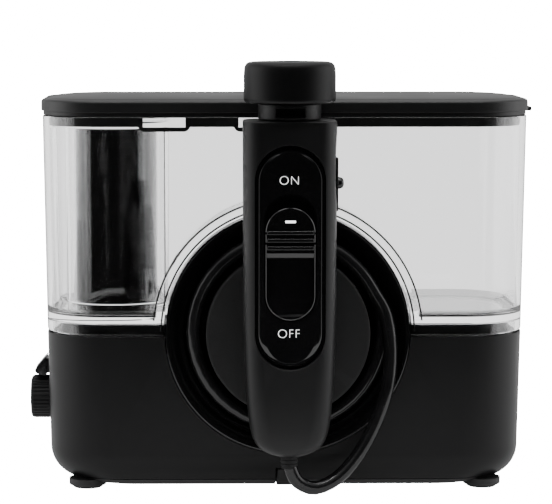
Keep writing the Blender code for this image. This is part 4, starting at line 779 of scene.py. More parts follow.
# %% Geometry Nodes helpers
def geometry_tree(name, inputs):
    """A Geometry Nodes tree with named inputs of (label, kind, value)."""
    tree = bpy.data.node_groups.new(name, "GeometryNodeTree")
    tree.interface.new_socket(name="Geometry", in_out="INPUT", socket_type="NodeSocketGeometry")
    for label, kind, value in inputs:
        socket = tree.interface.new_socket(name=label, in_out="INPUT", socket_type=kind)
        if value is not None:
            socket.default_value = value
    tree.interface.new_socket(name="Geometry", in_out="OUTPUT", socket_type="NodeSocketGeometry")
    return tree, tree.nodes.new("NodeGroupInput"), tree.nodes.new("NodeGroupOutput")


def run_tree(obj, tree, **values):
    """Adds the tree to an object, sets its inputs by identifier, and keeps the result as a mesh."""
    step = obj.modifiers.new(tree.name, "NODES")
    step.node_group = tree
    for item in tree.interface.items_tree:
        key = item.name.replace(" ", "_")
        if item.item_type == "SOCKET" and item.in_out == "INPUT" and key in values:
            step[item.identifier] = values[key]
    return bake(obj)


def set_on_points(tree, inside, outside, points, piece, rotation=None):
    """Sets the piece on each point, makes the copies real and gives them the finish."""
    source = tree.nodes.new("GeometryNodeObjectInfo")
    spots = tree.nodes.new("GeometryNodeInstanceOnPoints")
    real = tree.nodes.new("GeometryNodeRealizeInstances")
    paint = tree.nodes.new("GeometryNodeSetMaterial")
    link = tree.links.new
    link(inside.outputs[piece], source.inputs["Object"])
    link(points, spots.inputs["Points"])
    link(source.outputs["Geometry"], spots.inputs["Instance"])
    if rotation is not None:
        link(rotation, spots.inputs["Rotation"])
    link(spots.outputs["Instances"], real.inputs["Geometry"])
    link(real.outputs["Geometry"], paint.inputs["Geometry"])
    link(inside.outputs["Finish"], paint.inputs["Material"])
    link(paint.outputs["Geometry"], outside.inputs["Geometry"])
    return tree


# %% Screw heads on the plate
def screw_tree():
    tree, inside, outside = geometry_tree(
        "screw_heads",
        [
            ("Head", "NodeSocketObject", None),
            ("Turn Seed", "NodeSocketInt", 4),
            ("Finish", "NodeSocketMaterial", None),
        ],
    )
    turn = tree.nodes.new("FunctionNodeRandomValue")
    turn.data_type = "FLOAT_VECTOR"
    turn.inputs["Min"].default_value = (0.0, 0.0, 0.0)
    turn.inputs["Max"].default_value = (0.0, 0.0, math.pi)
    tree.links.new(inside.outputs["Turn Seed"], turn.inputs["Seed"])
    rotation = next(out for out in turn.outputs if out.type == "VECTOR")
    return set_on_points(tree, inside, outside, inside.outputs["Geometry"], "Head", rotation)


def cross_head():
    """One pan head with a cross slot, drawn about the origin and facing down."""
    profile = [(0, 1.2), (2.6, 1.2), (2.8, 0.9), (2.8, 0.5), (2.3, 0.1), (1.2, 0.0), (0, 0.0)]
    bm = bmesh.new()
    mesh = turned("cross_head", profile, (0, 0, 0), "Z", 32)
    bm.from_mesh(mesh)
    bmesh.ops.translate(bm, vec=-at(0, 0, 0), verts=bm.verts)
    head = place("cross_head", mesh_from(bm, "cross_head"), STEEL)
    slots = []
    for wide, deep in ((1.5, 0.28), (0.28, 1.5)):
        mesh = block("slot", (-wide, -deep, -1.0), (wide, deep, 0.7))
        mesh.transform(Matrix.Translation(-at(0, 0, 0)))
        slots.append(mesh)
    return carve(head, slots)


head = cross_head()
spots = bpy.data.meshes.new("screw_spots")
spots.from_pydata([at(x, y, 2.1) for x, y in SCREW_PLACES], [], [])
screws = place("bottom_screws", spots, STEEL)
run_tree(screws, screw_tree(), Head=head, Turn_Seed=4, Finish=STEEL)
bpy.data.objects.remove(head, do_unlink=True)
settle(screws, "base")
print("screws:", len(SCREW_PLACES), "faces:", len(screws.data.polygons))

# %% [markdown]
# ## The hose bay and the hub
# The bay is a glossy dish with a raised lip, a slope, and a deep round groove for the winding. The hub
# inside it is grained and matte, with a fine polished corner round its face. Both are turned shapes on one
# axis.

# %% Bay
bay_profile = [
    (0, 28.5), (BAY_RADIUS, 28.5), (BAY_RADIUS, 0.5), (BAY_RADIUS - 0.15, 0.15), (BAY_RADIUS - 0.5, 0.0),
    (BAY_RADIUS - 0.9, 0.08), (BAY_RADIUS - 1.3, 0.4), (BAY_RADIUS - 3.2, 2.2), (BAY_RADIUS - 4.6, 4.2),
    (41.3, 4.8), (40.6, 5.0), (39.9, 5.3), (39.5, 5.9), (39.4, 6.8), (39.4, 24.9), (38.4, 25.9), (0, 25.9),
]
bay = place("hose_dish", turned("hose_dish", bay_profile, (BAY_X, FRONT - 0.3, BAY_Z), "Y", 160), BAY_GLOSS)
gland_turn = math.radians(215)
gland = (BAY_X + COIL_RADIUS * math.cos(gland_turn), FRONT, BAY_Z + COIL_RADIUS * math.sin(gland_turn))
carve(bay, [rod("gland_hole", 3.5, 57, gland, "Y", 40)])
settle(bay, "base", "hose_bay", sharp=40)
print("bay faces:", len(bay.data.polygons))

# %% Hub
hub_long = BAY_BACK - 2.6 - 0.3 - HUB_FRONT
hub_profile = [
    (28.6, hub_long), (HUB_RADIUS, hub_long), (HUB_RADIUS, 1.0), (HUB_RADIUS - 0.1, 0.5),
    (HUB_RADIUS - 0.35, 0.12), (HUB_RADIUS - 0.8, 0.0), (HUB_RADIUS - 1.1, 0.05), (20.0, 0.05),
    (0, 0.05), (0, 2.4), (28.6, 2.4),
]
hub_mesh = turned("docking_hub", hub_profile, (BAY_X, HUB_FRONT, BAY_Z), "Y", 160, ring=True)
hub = place("docking_hub", hub_mesh, HUB_GRAIN)
settle(hub, "base", "hub_dock", sharp=40)
print("hub faces:", len(hub.data.polygons))

# %% [markdown]
# ## The clear reservoir
# It is one injection moulding: a tall wall with a small draft, a floor, a skirt below the floor, an arch
# over the bay and a rounded pocket at the rear left for the spare tips. Every wall has its real thickness,
# because a clear wall only looks right when light goes in through one skin and out through the other. The
# inside corner along the floor has a generous radius, and the rim is rounded.

# %% Reservoir outlines
def tank_level(z, inset=0.0):
    share = (z - SEAM) / (TANK_TOP - SEAM)
    return level(
        HALF_WIDE + TANK_FLARE * share - inset, HALF_DEEP + TANK_FLARE / 2 * share - inset, CORNER - inset, z
    )


def arch(radius, low, y_from, y_to, steps=96):
    """The upper part of the bay's circle as a solid, from one depth to another."""
    first = math.asin((low - BAY_Z) / radius)
    turns = [first + (math.pi - 2 * first) * i / steps for i in range(steps + 1)]
    shape = [(BAY_X + radius * math.cos(turn), BAY_Z + radius * math.sin(turn)) for turn in turns]
    return loft("arch", [[at(x, y, z) for x, z in shape] for y in (y_from, y_to)])


CASE_LEFT, CASE_RIGHT, CASE_NEAR, CASE_TOP, CASE_CORNER = -83.7, -50.3, 8.4, 136.0, 16.0
CASE_REAR = HALF_DEEP + TANK_FLARE / 2 - 0.8


def case_level(z, rear, grow=0.0, steps=24):
    """Two round corners at the front and two square ones at the rear."""
    corner = CASE_CORNER + grow
    left, right, middle_y = CASE_LEFT - grow, CASE_RIGHT + grow, CASE_NEAR - grow + corner
    points = [at(right, rear, z), at(left, rear, z)]
    for middle_x, first in ((left + corner, 180), (right - corner, 270)):
        for step in range(steps + 1):
            turn = math.radians(first + 90 * step / steps)
            points.append(at(middle_x + corner * math.cos(turn), middle_y + corner * math.sin(turn), z))
    return points


def tank_wall_rings():
    levels = [
        (FLOOR_UNDER, TANK_WALL + 0.6), (FLOOR_UNDER - 0.2, TANK_WALL + 0.2),
        (FLOOR_UNDER - 0.8, TANK_WALL), (SEAM + 0.5, TANK_WALL), (SEAM + 0.15, TANK_WALL - 0.15),
        (SEAM, TANK_WALL - 0.5), (SEAM, 0.8), (SEAM + 0.11, 0.4), (SEAM + 0.4, 0.11), (SEAM + 0.8, 0.0),
        (TANK_TOP - 0.5, 0.0), (TANK_TOP - 0.15, 0.15), (TANK_TOP, 0.5), (TANK_TOP, TANK_WALL - 0.5),
        (TANK_TOP - 0.15, TANK_WALL - 0.15), (TANK_TOP - 0.5, TANK_WALL),
    ]
    rings = [tank_level(z, inset) for z, inset in levels]
    for step in range(9):
        turn = math.radians(90 * step / 8)
        z = FLOOR_TOP + 3.0 * (1 - math.sin(turn))
        rings.append(tank_level(z, TANK_WALL + 3.0 * (1 - math.cos(turn))))
    return rings


# %% Reservoir
tank = place("clear_reservoir", loft("clear_reservoir", tank_wall_rings()), CLEAR_TANK)
ARCH_INNER = BAY_RADIUS + 0.7
ARCH_BACK = BAY_BACK + 0.7
REAR_WALL = HALF_DEEP + TANK_FLARE / 2
pocket_top = CASE_TOP + 0.4 + TANK_WALL
extras = [
    arch(ARCH_INNER + 3.2, FLOOR_UNDER + 0.1, FRONT + 0.6, ARCH_BACK + TANK_WALL),
    loft("pocket", [case_level(z, REAR_WALL - 1.2, 4.8) for z in (FLOOR_UNDER + 0.2, pocket_top)]),
]
for side in (-1, 1):
    near, far = sorted((side * 30.4, side * 36.4))
    extras.append(block("lug", (near, REAR_WALL - 1.2, HINGE_Z - 9), (far, HINGE_Y + 1.6, TANK_TOP - 0.2)))
    extras.append(rod("lug_end", 2.3, 6, (near, HINGE_Y, HINGE_Z), "X", 40))
carve(tank, extras, "UNION")
carve(
    tank,
    [
        rod("bay_void", ARCH_INNER, ARCH_BACK + 60, (BAY_X, -60, BAY_Z), "Y", 192),
        loft("case_void", [case_level(z, REAR_WALL + 5, 0.4) for z in (FLOOR_TOP, CASE_TOP + 0.4)]),
        rod("valve_void", 6.6, 12, (0, 20, SEAM), "Z", 64),
        rod("pin_void", PIN_BORE, 80, (-40, HINGE_Y, HINGE_Z), "X", 24),
    ],
)
# The rounded edges take the nearly black plastic, which paints them as dark edge lines.
tank.data.materials.append(CLEAR_EDGE_SHADE)
settle(tank, "reservoir", "reservoir", sharp=25, soften=0.4)
print("reservoir faces:", len(tank.data.polygons))

# %% [markdown]
# ## The beads round the arch
# Two fine beads stand on the reservoir's front, one on each side of the arch's edge. A curve with a bevel
# could draw them, but the front leans with the draft, so each ring of a loft is set on the wall at its own
# height.

# %% Beads round the arch
BEAD_HALF = 0.34


def arch_bead(name, radius, low, steps=96):
    """A round wire half sunk in the reservoir's front, which leaves a half-round bead."""
    first = math.asin((low - BAY_Z) / radius)
    rings = []
    for step in range(steps + 1):
        turn = first + (math.pi - 2 * first) * step / steps
        share = (BAY_Z + radius * math.sin(turn) - SEAM) / (TANK_TOP - SEAM)
        front = -(HALF_DEEP + TANK_FLARE / 2 * share)
        ring = []
        for corner in range(8):
            roll = 2 * math.pi * corner / 8
            reach = radius + BEAD_HALF * math.cos(roll)
            y = front + BEAD_HALF * math.sin(roll)
            ring.append(at(BAY_X + reach * math.cos(turn), y, BAY_Z + reach * math.sin(turn)))
        rings.append(ring)
    # The beads take the nearly black plastic, which paints them as dark lines round the arch.
    bead = place(name, loft(name, rings), CLEAR_EDGE_SHADE)
    settle(bead, "reservoir", sharp=60)
    return bead


inner_bead = arch_bead("arch_bead_inner", ARCH_INNER + 0.9, SEAM + 2.0)
outer_bead = arch_bead("arch_bead_outer", ARCH_INNER + 3.9, SEAM + 6.0)
print("bead faces:", len(inner_bead.data.polygons) + len(outer_bead.data.polygons))

# %% [markdown]
# ## The tip case
# Spare jet tips stand in a black case that draws out of the reservoir's rear. Its front is nearly half
# round, so one side of it always catches the light. It is open at the top and has a finger hole in the rear
# wall.

# %% Tip case
low_z = FLOOR_TOP + 0.3
case_levels = [
    (low_z, -0.5), (low_z + 0.15, -0.15), (low_z + 0.5, 0.0),
    (CASE_TOP - 0.5, 0.0), (CASE_TOP - 0.12, -0.12), (CASE_TOP, -0.5),
]
case_rings = [case_level(z, CASE_REAR, grow) for z, grow in case_levels]
case = place("spare_tip_case", loft("spare_tip_case", case_rings), CASE_SATIN)
finger = ((CASE_LEFT + CASE_RIGHT) / 2, CASE_REAR - 5, CASE_TOP - 8)
carve(
    case,
    [
        loft("case_hollow", [case_level(z, CASE_REAR - 1.6, -1.6) for z in (low_z + 1.6, CASE_TOP + 5)]),
        rod("finger_hole", 5, 9, finger, "Y", 64),
    ],
)
settle(case, "tip_case", "tip_case")
print("tip case faces:", len(case.data.polygons))

# %% [markdown]
# ## The lid
# The lid is a shallow cap: a softly crowned top, a fine groove, a rolled rim and an upright edge. Under it
# a skirt drops inside the reservoir. The skirt has two windows with a clip frame round each, which is what
# makes the lid snap shut. At the rear a hinge barrel runs between the reservoir's two lugs.

# %% Lid
LID_HALF_WIDE = HALF_WIDE + TANK_FLARE + 0.5
LID_HALF_DEEP = HALF_DEEP + TANK_FLARE / 2 + 0.5
LID_LOW = TANK_TOP + 0.3
LID_TOP = LID_LOW + 6.1


def lid_level(z, inset):
    return level(LID_HALF_WIDE - inset, LID_HALF_DEEP - inset, CORNER + 0.5 - inset, z)


SKIRT = 0.5 + TANK_WALL + 0.4
lid_levels = [
    (LID_TOP + 1.2, 30), (LID_TOP + 1.15, 22), (LID_TOP + 1.0, 14), (LID_TOP + 0.75, 9),
    (LID_TOP + 0.45, 5.6), (LID_TOP + 0.2, 4.0), (LID_TOP - 0.15, 3.3), (LID_TOP - 0.3, 3.0),
    (LID_TOP - 0.3, 2.6), (LID_TOP - 0.05, 2.3), (LID_TOP, 1.9), (LID_TOP - 0.05, 1.3),
    (LID_TOP - 0.22, 0.75), (LID_TOP - 0.55, 0.3), (LID_TOP - 1.0, 0.08), (LID_TOP - 1.5, 0.0),
    (LID_LOW + 1.8, 0.0), (LID_LOW + 1.55, 0.1), (LID_LOW + 1.45, 0.35), (LID_LOW + 1.4, 0.8),
    (LID_LOW + 0.1, 0.8), (LID_LOW, 0.95), (LID_LOW, SKIRT), (LID_LOW - 3.8, SKIRT),
    (LID_LOW - 4.0, SKIRT + 0.2), (LID_LOW - 4.0, SKIRT + 1.6), (LID_LOW - 3.8, SKIRT + 1.8),
    (LID_TOP - 2.6, SKIRT + 1.8),
]
lid_rings = [lid_level(z, inset) for z, inset in lid_levels]
lid = place("lid_cap", loft("lid_cap", lid_rings), LID_SATIN)
barrel = [(0, 60), (2.0, 60), (2.3, 59.7), (2.3, 0.3), (2.0, 0), (0, 0)]
WINDOWS = (-46.0, -10.0)
SKIRT_FRONT = -(LID_HALF_DEEP - SKIRT)


def clip_frame(middle):
    """A rounded frame that hangs from the skirt, and the smaller window to be cut through it."""
    half, low, corner, top = 9.9, 137.7, 2.6, LID_LOW - 0.1
    shape = [(half, top), (-half, top)]
    for side, first in ((-1, 180), (1, 270)):
        for step in range(9):
            turn = math.radians(first + 90 * step / 8)
            x, z = side * (half - corner) + corner * math.cos(turn), low + corner + corner * math.sin(turn)
            shape.append((x, z))
    depths = (SKIRT_FRONT + 0.3, SKIRT_FRONT + 1.7)
    frame_shape = loft("clip_frame", [[at(middle + x, y, z) for x, z in shape] for y in depths])
    near = (middle - 8.0, SKIRT_FRONT - 1.3, low + 1.6)
    far = (middle + 8.0, SKIRT_FRONT + 5.0, top + 0.05)
    return frame_shape, block("clip_window", near, far)


clips = [clip_frame(middle) for middle in WINDOWS]
tab_low, tab_high = (LID_HALF_WIDE - 1, 5, LID_LOW + 0.2), (LID_HALF_WIDE + 4.2, 14, LID_LOW + 1.9)
carve(
    lid,
    [
        turned("hinge_barrel", barrel, (-30, HINGE_Y, HINGE_Z), "X", 48),
        block("barrel_web", (-30, LID_HALF_DEEP - 1.5, HINGE_Z + 0.1), (30, HINGE_Y + 0.4, HINGE_Z + 2.1)),
        block("finger_tab", tab_low, tab_high, 0.5),
        *[frame_shape for frame_shape, _ in clips],
    ],
    "UNION",
)
carve(lid, [rod("pin_void", PIN_BORE, 62, (-31, HINGE_Y, HINGE_Z), "X", 24)])
for _, window in clips:
    carve(lid, [window])
settle(lid, "lid", "lid", sharp=35)
print("lid faces:", len(lid.data.polygons))

# %% [markdown]
# ## The handle's casing
# The handle is a rounded bar that tapers to a blunt lower end. It is moulded in two halves that meet on a
# line along both sides, and each half is a shell. The right side has a shallow scoop so a thumb finds the
# eject button. The front half has the long opening for the control panel, with a rounded edge to it.

# %% Handle casing
HANDLE_HALF_WIDE, HANDLE_CORNER = 17.3, 7.5
SCOOP_RADIUS, SCOOP_DEEP, EJECT_Z = 150, 0.7, 119.9


def handle_rings(inset, lift=0.0):
    low = HANDLE_LOW + lift
    levels = [
        (low, 13.2, 7.6), (low + 0.25, 11.6, 6.2), (low + 0.7, 10.0, 4.9), (low + 1.3, 8.8, 3.9),
        (low + 2.1, 7.5, 2.9), (low + 3.1, 6.3, 2.1), (low + 4.4, 5.15, 1.4), (low + 6.0, 4.2, 0.9),
        (low + 8.0, 3.4, 0.6), (low + 11.0, 2.65, 0.4), (low + 16.0, 1.9, 0.22), (low + 24.0, 1.2, 0.08),
        (low + 34.0, 0.7, 0.0), (low + 46.0, 0.35, 0.0), (78.0, 0.15, 0.0), (139.2, 0.0, 0.0),
        (HANDLE_TOP - 0.9 - inset, 0.0, 0.0), (HANDLE_TOP - 0.45 - inset, 0.12, 0.12),
        (HANDLE_TOP - 0.14 - inset, 0.42, 0.42), (HANDLE_TOP - inset, 0.9, 0.9),
    ]
    rings = []
    for z, side, front in levels:
        half_x, half_y = HANDLE_HALF_WIDE - side - inset, HANDLE_THICK / 2 - front - inset
        rings.append(level(half_x, half_y, HANDLE_CORNER - inset / 2, z, (BAY_X, HANDLE_Y), 16))
    return rings


PANEL_HALF, PANEL_LOW, PANEL_TOP = 11.7, 53.3, 133.0
BEZEL_X, BEZEL_LOW, BEZEL_TALL = BAY_X + HANDLE_HALF_WIDE - 0.6, 109.6, 19.8


def handle_half(name, node, near, far, extra_cuts):
    half = place(name, loft(name, handle_rings(0.0)), HANDLE_SATIN)
    carve(half, [loft(f"{name}_hollow", handle_rings(2.0, 2.0))])
    carve(half, [block(f"{name}_side", (BAY_X - 30, near, 0), (BAY_X + 30, far, 160))], "INTERSECT")
    scoop_at = (BAY_X + HANDLE_HALF_WIDE - SCOOP_DEEP + SCOOP_RADIUS, HANDLE_FRONT - 5, 124.6)
    pocket_low = (BEZEL_X - 0.3, HANDLE_Y - 3.1, BEZEL_LOW - 0.3)
    pocket_high = (BEZEL_X + 8, HANDLE_Y + 3.1, BEZEL_LOW + BEZEL_TALL + 0.3)
    carve(
        half,
        [
            rod("scoop", SCOOP_RADIUS, 40, scoop_at, "Y", 720),
            block("bezel_pocket", pocket_low, pocket_high),
            rod("neck_hole", 8.3, 16, (BAY_X, HANDLE_Y, HANDLE_TOP - 8), "Z", 64),
            rod("hose_hole", 3.5, 9, (BAY_X, HANDLE_Y, HANDLE_LOW - 2), "Z", 48),
            rod("eject_hole", 2.6, 12, (BAY_X + HANDLE_HALF_WIDE - 6, HANDLE_Y, EJECT_Z), "X", 32),
            *extra_cuts,
        ],
    )
    return settle(half, "handle", node, sharp=38)


opening_levels = [(1.9, -0.2), (1.55, 0.12), (1.35, 0.4), (1.3, 0.8), (1.3, 6.0)]
opening = [
    upright(PANEL_HALF + grow, PANEL_LOW - grow, PANEL_TOP + grow, HANDLE_FRONT + deep)
    for grow, deep in opening_levels
]
cut_front = [loft("opening", opening)]
handle_front = handle_half("handle_front_shell", "handle_front", HANDLE_FRONT - 5, HANDLE_Y - 0.15, cut_front)
handle_back = handle_half("handle_back_shell", "handle_back", HANDLE_Y + 0.15, HANDLE_BACK + 5, [])
print("handle faces:", len(handle_front.data.polygons) + len(handle_back.data.polygons))

# %% [markdown]
# ## The control panel
# The panel is a long polished insert with broad sloping sides, so its middle stays dark while its sides
# pick up the light around it. A slot-shaped well in it lets the switch slide.

# %% Control panel
SLIDER_HALF, SLIDER_LOW, SLIDER_TOP, SLIDER_TRAVEL = 9.15, 70.2, 111.8, 4.4
PANEL_BACK, PANEL_STEP = HANDLE_FRONT + 4.6, HANDLE_FRONT + 2.0


def panel_ring(half, y, end=None):
    """The panel's outline drawn in at the sides, and by a smaller amount at its ends."""
    grow = half - PANEL_HALF if end is None else end
    return upright(half, PANEL_LOW - grow, PANEL_TOP + grow, y)


panel_rings = [
    panel_ring(PANEL_HALF + 1.0, PANEL_BACK),
    panel_ring(PANEL_HALF + 1.0, PANEL_STEP),
    panel_ring(PANEL_HALF, PANEL_STEP),
    panel_ring(PANEL_HALF, HANDLE_FRONT + 1.5),
    panel_ring(PANEL_HALF - 0.1, HANDLE_FRONT + 1.22, -0.1),
    panel_ring(PANEL_HALF - 0.35, HANDLE_FRONT + 1.02, -0.3),
    panel_ring(PANEL_HALF - 0.9, HANDLE_FRONT + 0.74, -0.55),
    panel_ring(PANEL_HALF - 2.95, HANDLE_FRONT + 0.24, -0.9),
    panel_ring(PANEL_HALF - 3.15, HANDLE_FRONT + 0.22, -1.0),
]
panel = place("panel_insert", loft("panel_insert", panel_rings), PANEL_GLOSS)
slot_top = SLIDER_TOP + SLIDER_TRAVEL
well = [
    upright(SLIDER_HALF + grow, SLIDER_LOW - grow, slot_top + grow, HANDLE_FRONT + deep)
    for grow, deep in ((0.55, -3), (0.42, 0.5), (0.4, 2.9))
]
stem_slot = block("stem_slot", (BAY_X - 2.4, HANDLE_FRONT, 81.6), (BAY_X + 2.4, PANEL_BACK + 3, 90.8))
carve(panel, [loft("well", well), stem_slot])
settle(panel, "handle", "control_panel", sharp=24)
print("panel faces:", len(panel.data.polygons))

# %% [markdown]
# ## The slide switch
# The switch is a long slot-shaped button with a thumb rest. Its top end is flat and carries a short white
# dash. Below that a ridge with fine bars stands up for grip, and below the ridge the face is scooped hollow
# for the thumb. The scoop is a curved section run across the switch and trimmed to its outline, then cut
# out of the face.

# %% Slide switch
SLIDER_FACE = HANDLE_FRONT - 0.5
RIDGE_LOW = 96.2


def slider_ring(half, y):
    grow = half - SLIDER_HALF
    return upright(half, SLIDER_LOW - grow, SLIDER_TOP + grow, y, 32)


slider_levels = [(0.0, 3.0), (0.0, 0.7), (0.1, 0.35), (0.35, 0.1), (0.7, 0.0)]
slider_rings = [slider_ring(SLIDER_HALF - inset, SLIDER_FACE + y) for inset, y in slider_levels]
switch = place("slide_switch_cap", loft("slide_switch_cap", slider_rings), PANEL_GLOSS)


def across(name, profile, low_x, high_x):
    """A bar across the switch: (depth, height) points of its section, joined over a width."""
    return loft(name, [[at(BAY_X + x, SLIDER_FACE + y, z) for y, z in profile] for x in (low_x, high_x)])


scoop_side = [
    (-0.6, 95.2), (0.25, 95.0), (0.75, 94.3), (1.15, 92.8), (1.35, 90.0),
    (1.35, 84.0), (1.2, 79.0), (0.85, 75.0), (0.4, 72.6), (-0.6, 70.6),
]
grooves = [
    [(-0.6, z + 0.75), (0.55, z + 0.3), (0.55, z - 0.3), (-0.6, z - 0.75)] for z in (102.4, 98.6)
]
inside_half = SLIDER_HALF - 0.55
stem = block("stem", (BAY_X - 2.0, SLIDER_FACE + 2, 82.0), (BAY_X + 2.0, SLIDER_FACE + 6.5, 86.0))
carve(switch, [stem], "UNION")
thumb = place("thumb_scoop", across("thumb_scoop", scoop_side, -14, 14), PANEL_GLOSS)
keep_in = [slider_ring(inside_half, SLIDER_FACE + y) for y in (-1.5, 4.0)]
carve(thumb, [loft("keep_in", keep_in)], "INTERSECT")
carve(switch, [thumb.data.copy()] + [across("groove", profile, -10, 10) for profile in grooves])
bpy.data.objects.remove(thumb, do_unlink=True)
settle(switch, "slide_switch", "slide_switch", sharp=28)
print("switch faces:", len(switch.data.polygons))

# %% [markdown]
# ## The grip bars
# The bars on the ridge are one small rounded bar repeated upward. Geometry Nodes is made for this: a line
# of points, and one bar set on each of them. The spacing and the count are inputs of the group, so a change
# of either needs no remodelling.

# %% Grip bars by Geometry Nodes
def bar_tree():
    tree, inside, outside = geometry_tree(
        "grip_bars",
        [
            ("Bar", "NodeSocketObject", None),
            ("Bars", "NodeSocketInt", 3),
            ("Spacing", "NodeSocketFloat", 0.0028),
            ("Finish", "NodeSocketMaterial", None),
        ],
    )
    step = tree.nodes.new("ShaderNodeCombineXYZ")
    line = tree.nodes.new("GeometryNodeMeshLine")
    tree.links.new(inside.outputs["Spacing"], step.inputs["Z"])
    tree.links.new(step.outputs["Vector"], line.inputs["Offset"])
    tree.links.new(inside.outputs["Bars"], line.inputs["Count"])
    return set_on_points(tree, inside, outside, line.outputs["Mesh"], "Bar")


bar_low = (BAY_X - inside_half, SLIDER_FACE - 0.75, RIDGE_LOW)
bar_high = (BAY_X + inside_half, SLIDER_FACE + 0.45, RIDGE_LOW + 1.5)
one_bar = place("one_bar", block("one_bar", bar_low, bar_high, 0.45, 4), BUTTON_GLOSS)
grip_bars = place("grip_bars", bpy.data.meshes.new("grip_bars"), BUTTON_GLOSS)
run_tree(grip_bars, bar_tree(), Bar=one_bar, Bars=3, Spacing=0.0028, Finish=BUTTON_GLOSS)
bpy.data.objects.remove(one_bar, do_unlink=True)
settle(grip_bars, "slide_switch")
print("grip bar faces:", len(grip_bars.data.polygons))

# %% [markdown]
# ## The printed marks
# The panel says ON above the switch and OFF below it, and a short dash on the switch points at the one in
# use. Letters are outlines with a very small thickness, turned into a mesh before they are placed. They
# stand a few hundredths of a millimetre proud, as thick ink does.

# %% Printed marks
PANEL_FACE = HANDLE_FRONT + 0.22


def printed_word(name, word, tall, middle_z, body, face):
    curve = bpy.data.curves.new(name, "FONT")
    curve.body, curve.size = word, tall * MM / 0.7
    curve.align_x, curve.align_y = "CENTER", "CENTER"
    curve.extrude = 0.02 * MM
    curve.offset = -0.16 * MM
    curve.space_character = 1.06
    words = bpy.data.objects.new(name, curve)
    bpy.context.scene.collection.objects.link(words)
    bake_from = bpy.context.evaluated_depsgraph_get()
    mesh = bpy.data.meshes.new_from_object(words.evaluated_get(bake_from))
    bpy.data.objects.remove(words, do_unlink=True)
    middle = sum((Vector(corner) for corner in mesh_box(mesh)), Vector()) / 2
    stand = Matrix.Rotation(math.radians(90), 4, "X")
    mesh.transform(Matrix.Translation(at(BAY_X - 0.5, face, middle_z)) @ stand @ Matrix.Translation(-middle))
    mark = place(name, mesh, GLOWING_WHITE_INK)
    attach(mark, body)
    return mark


def mesh_box(mesh):
    places = [vert.co for vert in mesh.vertices]
    low = [min(place[i] for place in places) for i in range(3)]
    high = [max(place[i] for place in places) for i in range(3)]
    return low, high


on_mark = printed_word("mark_on", "ON", 3.3, 121.7, "handle", PANEL_FACE - 0.01)
off_mark = printed_word("mark_off", "OFF", 3.3, 65.4, "handle", PANEL_FACE - 0.01)
dash_low = (BAY_X - 1.9, SLIDER_FACE - 0.03, 106.2)
dash_high = (BAY_X + 1.9, SLIDER_FACE + 0.01, 107.0)
dash = place("mark_dash", block("mark_dash", dash_low, dash_high), GLOWING_WHITE_INK)
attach(dash, "slide_switch")
print("marks:", on_mark.name, off_mark.name, dash.name)

# %% [markdown]
# ## The neck and the tip knob
# Above the casing a neck carries the knob that turns the jet tip. The neck is a turned ring with a small
# window cut in its front. The knob is a squat cylinder with a rounded top edge and a small chamfer
# underneath. Both are open along the axis, where the tip goes in.

# %% Neck and knob
NECK_TOP, KNOB_TOP = 149.1, 164.6
neck_profile = [
    (4.3, NECK_TOP), (11.2, NECK_TOP), (11.5, NECK_TOP - 0.1), (11.6, NECK_TOP - 0.4),
    (11.6, HANDLE_TOP + 0.7), (11.5, HANDLE_TOP + 0.4), (11.2, HANDLE_TOP + 0.3),
    (8.0, HANDLE_TOP + 0.3), (8.0, 136.0), (4.3, 136.0),
]
handle_axis = (BAY_X, HANDLE_Y, 0)
neck = place("neck_ring", turned("neck_ring", neck_profile, handle_axis, "Z", 96, ring=True), HANDLE_SATIN)
window_low, window_high = (BAY_X - 5.7, HANDLE_Y - 13, 144.4), (BAY_X + 5.7, HANDLE_Y - 9.0, 148.3)
carve(neck, [block("neck_window", window_low, window_high, 0.7)])
settle(neck, "handle", "neck_collar", sharp=35)
knob_profile = [
    (4.3, KNOB_TOP - 0.7), (4.5, KNOB_TOP - 0.35), (5.0, KNOB_TOP - 0.15), (5.8, KNOB_TOP),
    (14.2, KNOB_TOP), (15.2, KNOB_TOP - 0.2), (15.95, KNOB_TOP - 0.65), (16.45, KNOB_TOP - 1.3),
    (16.75, KNOB_TOP - 2.1), (16.9, KNOB_TOP - 3.2), (17.0, KNOB_TOP - 5.0),
    (17.0, 151.3), (16.9, 150.6), (16.55, 149.9), (16.0, 149.6), (15.4, 149.5), (4.3, 149.5),
]
knob = place("tip_knob", turned("tip_knob", knob_profile, handle_axis, "Z", 160, ring=True), KNOB_SATIN)
settle(knob, "tip_rotator", "tip_rotator_knob", sharp=35)
print("neck and knob faces:", len(neck.data.polygons) + len(knob.data.polygons))

# %% Eject strip and its nub
strip_low = (BEZEL_X, HANDLE_Y - 2.8, BEZEL_LOW)
strip_high = (BEZEL_X + 1.2, HANDLE_Y + 2.8, BEZEL_LOW + BEZEL_TALL)
strip = place("eject_strip", block("eject_strip", strip_low, strip_high, 0.3), BUTTON_GLOSS)
holes = [rod("nub_hole", 2.5, 6, (BEZEL_X - 2, HANDLE_Y, EJECT_Z), "X", 40)]
for hole_z in (112.6, 126.6):
    holes.append(rod("screw_hole", 0.55, 6, (BEZEL_X - 2, HANDLE_Y, hole_z), "X", 20))
carve(strip, holes)
settle(strip, "handle", "eject_bezel", sharp=35)
nub_profile = [
    (0, 2.6), (0.9, 2.52), (1.5, 2.25), (1.95, 1.75), (2.14, 1.2), (2.2, 0.6), (2.2, -1.5), (0, -1.5),
]
nub_mesh = turned("eject_nub", nub_profile, (BEZEL_X + 0.8, HANDLE_Y, EJECT_Z), "X", 48)
nub = place("eject_nub", nub_mesh, BUTTON_GLOSS)
settle(nub, "eject_button", "eject_button", sharp=35)
print("eject faces:", len(strip.data.polygons) + len(nub.data.polygons))

# %% [markdown]
# ## The side controls
# The dial is a low cylinder whose grip is a ring of shallow flutes. The power button beside it is a wedge
# that leans down and out, so a fingertip presses it inward.

# %% Pressure dial
FLUTES = 36


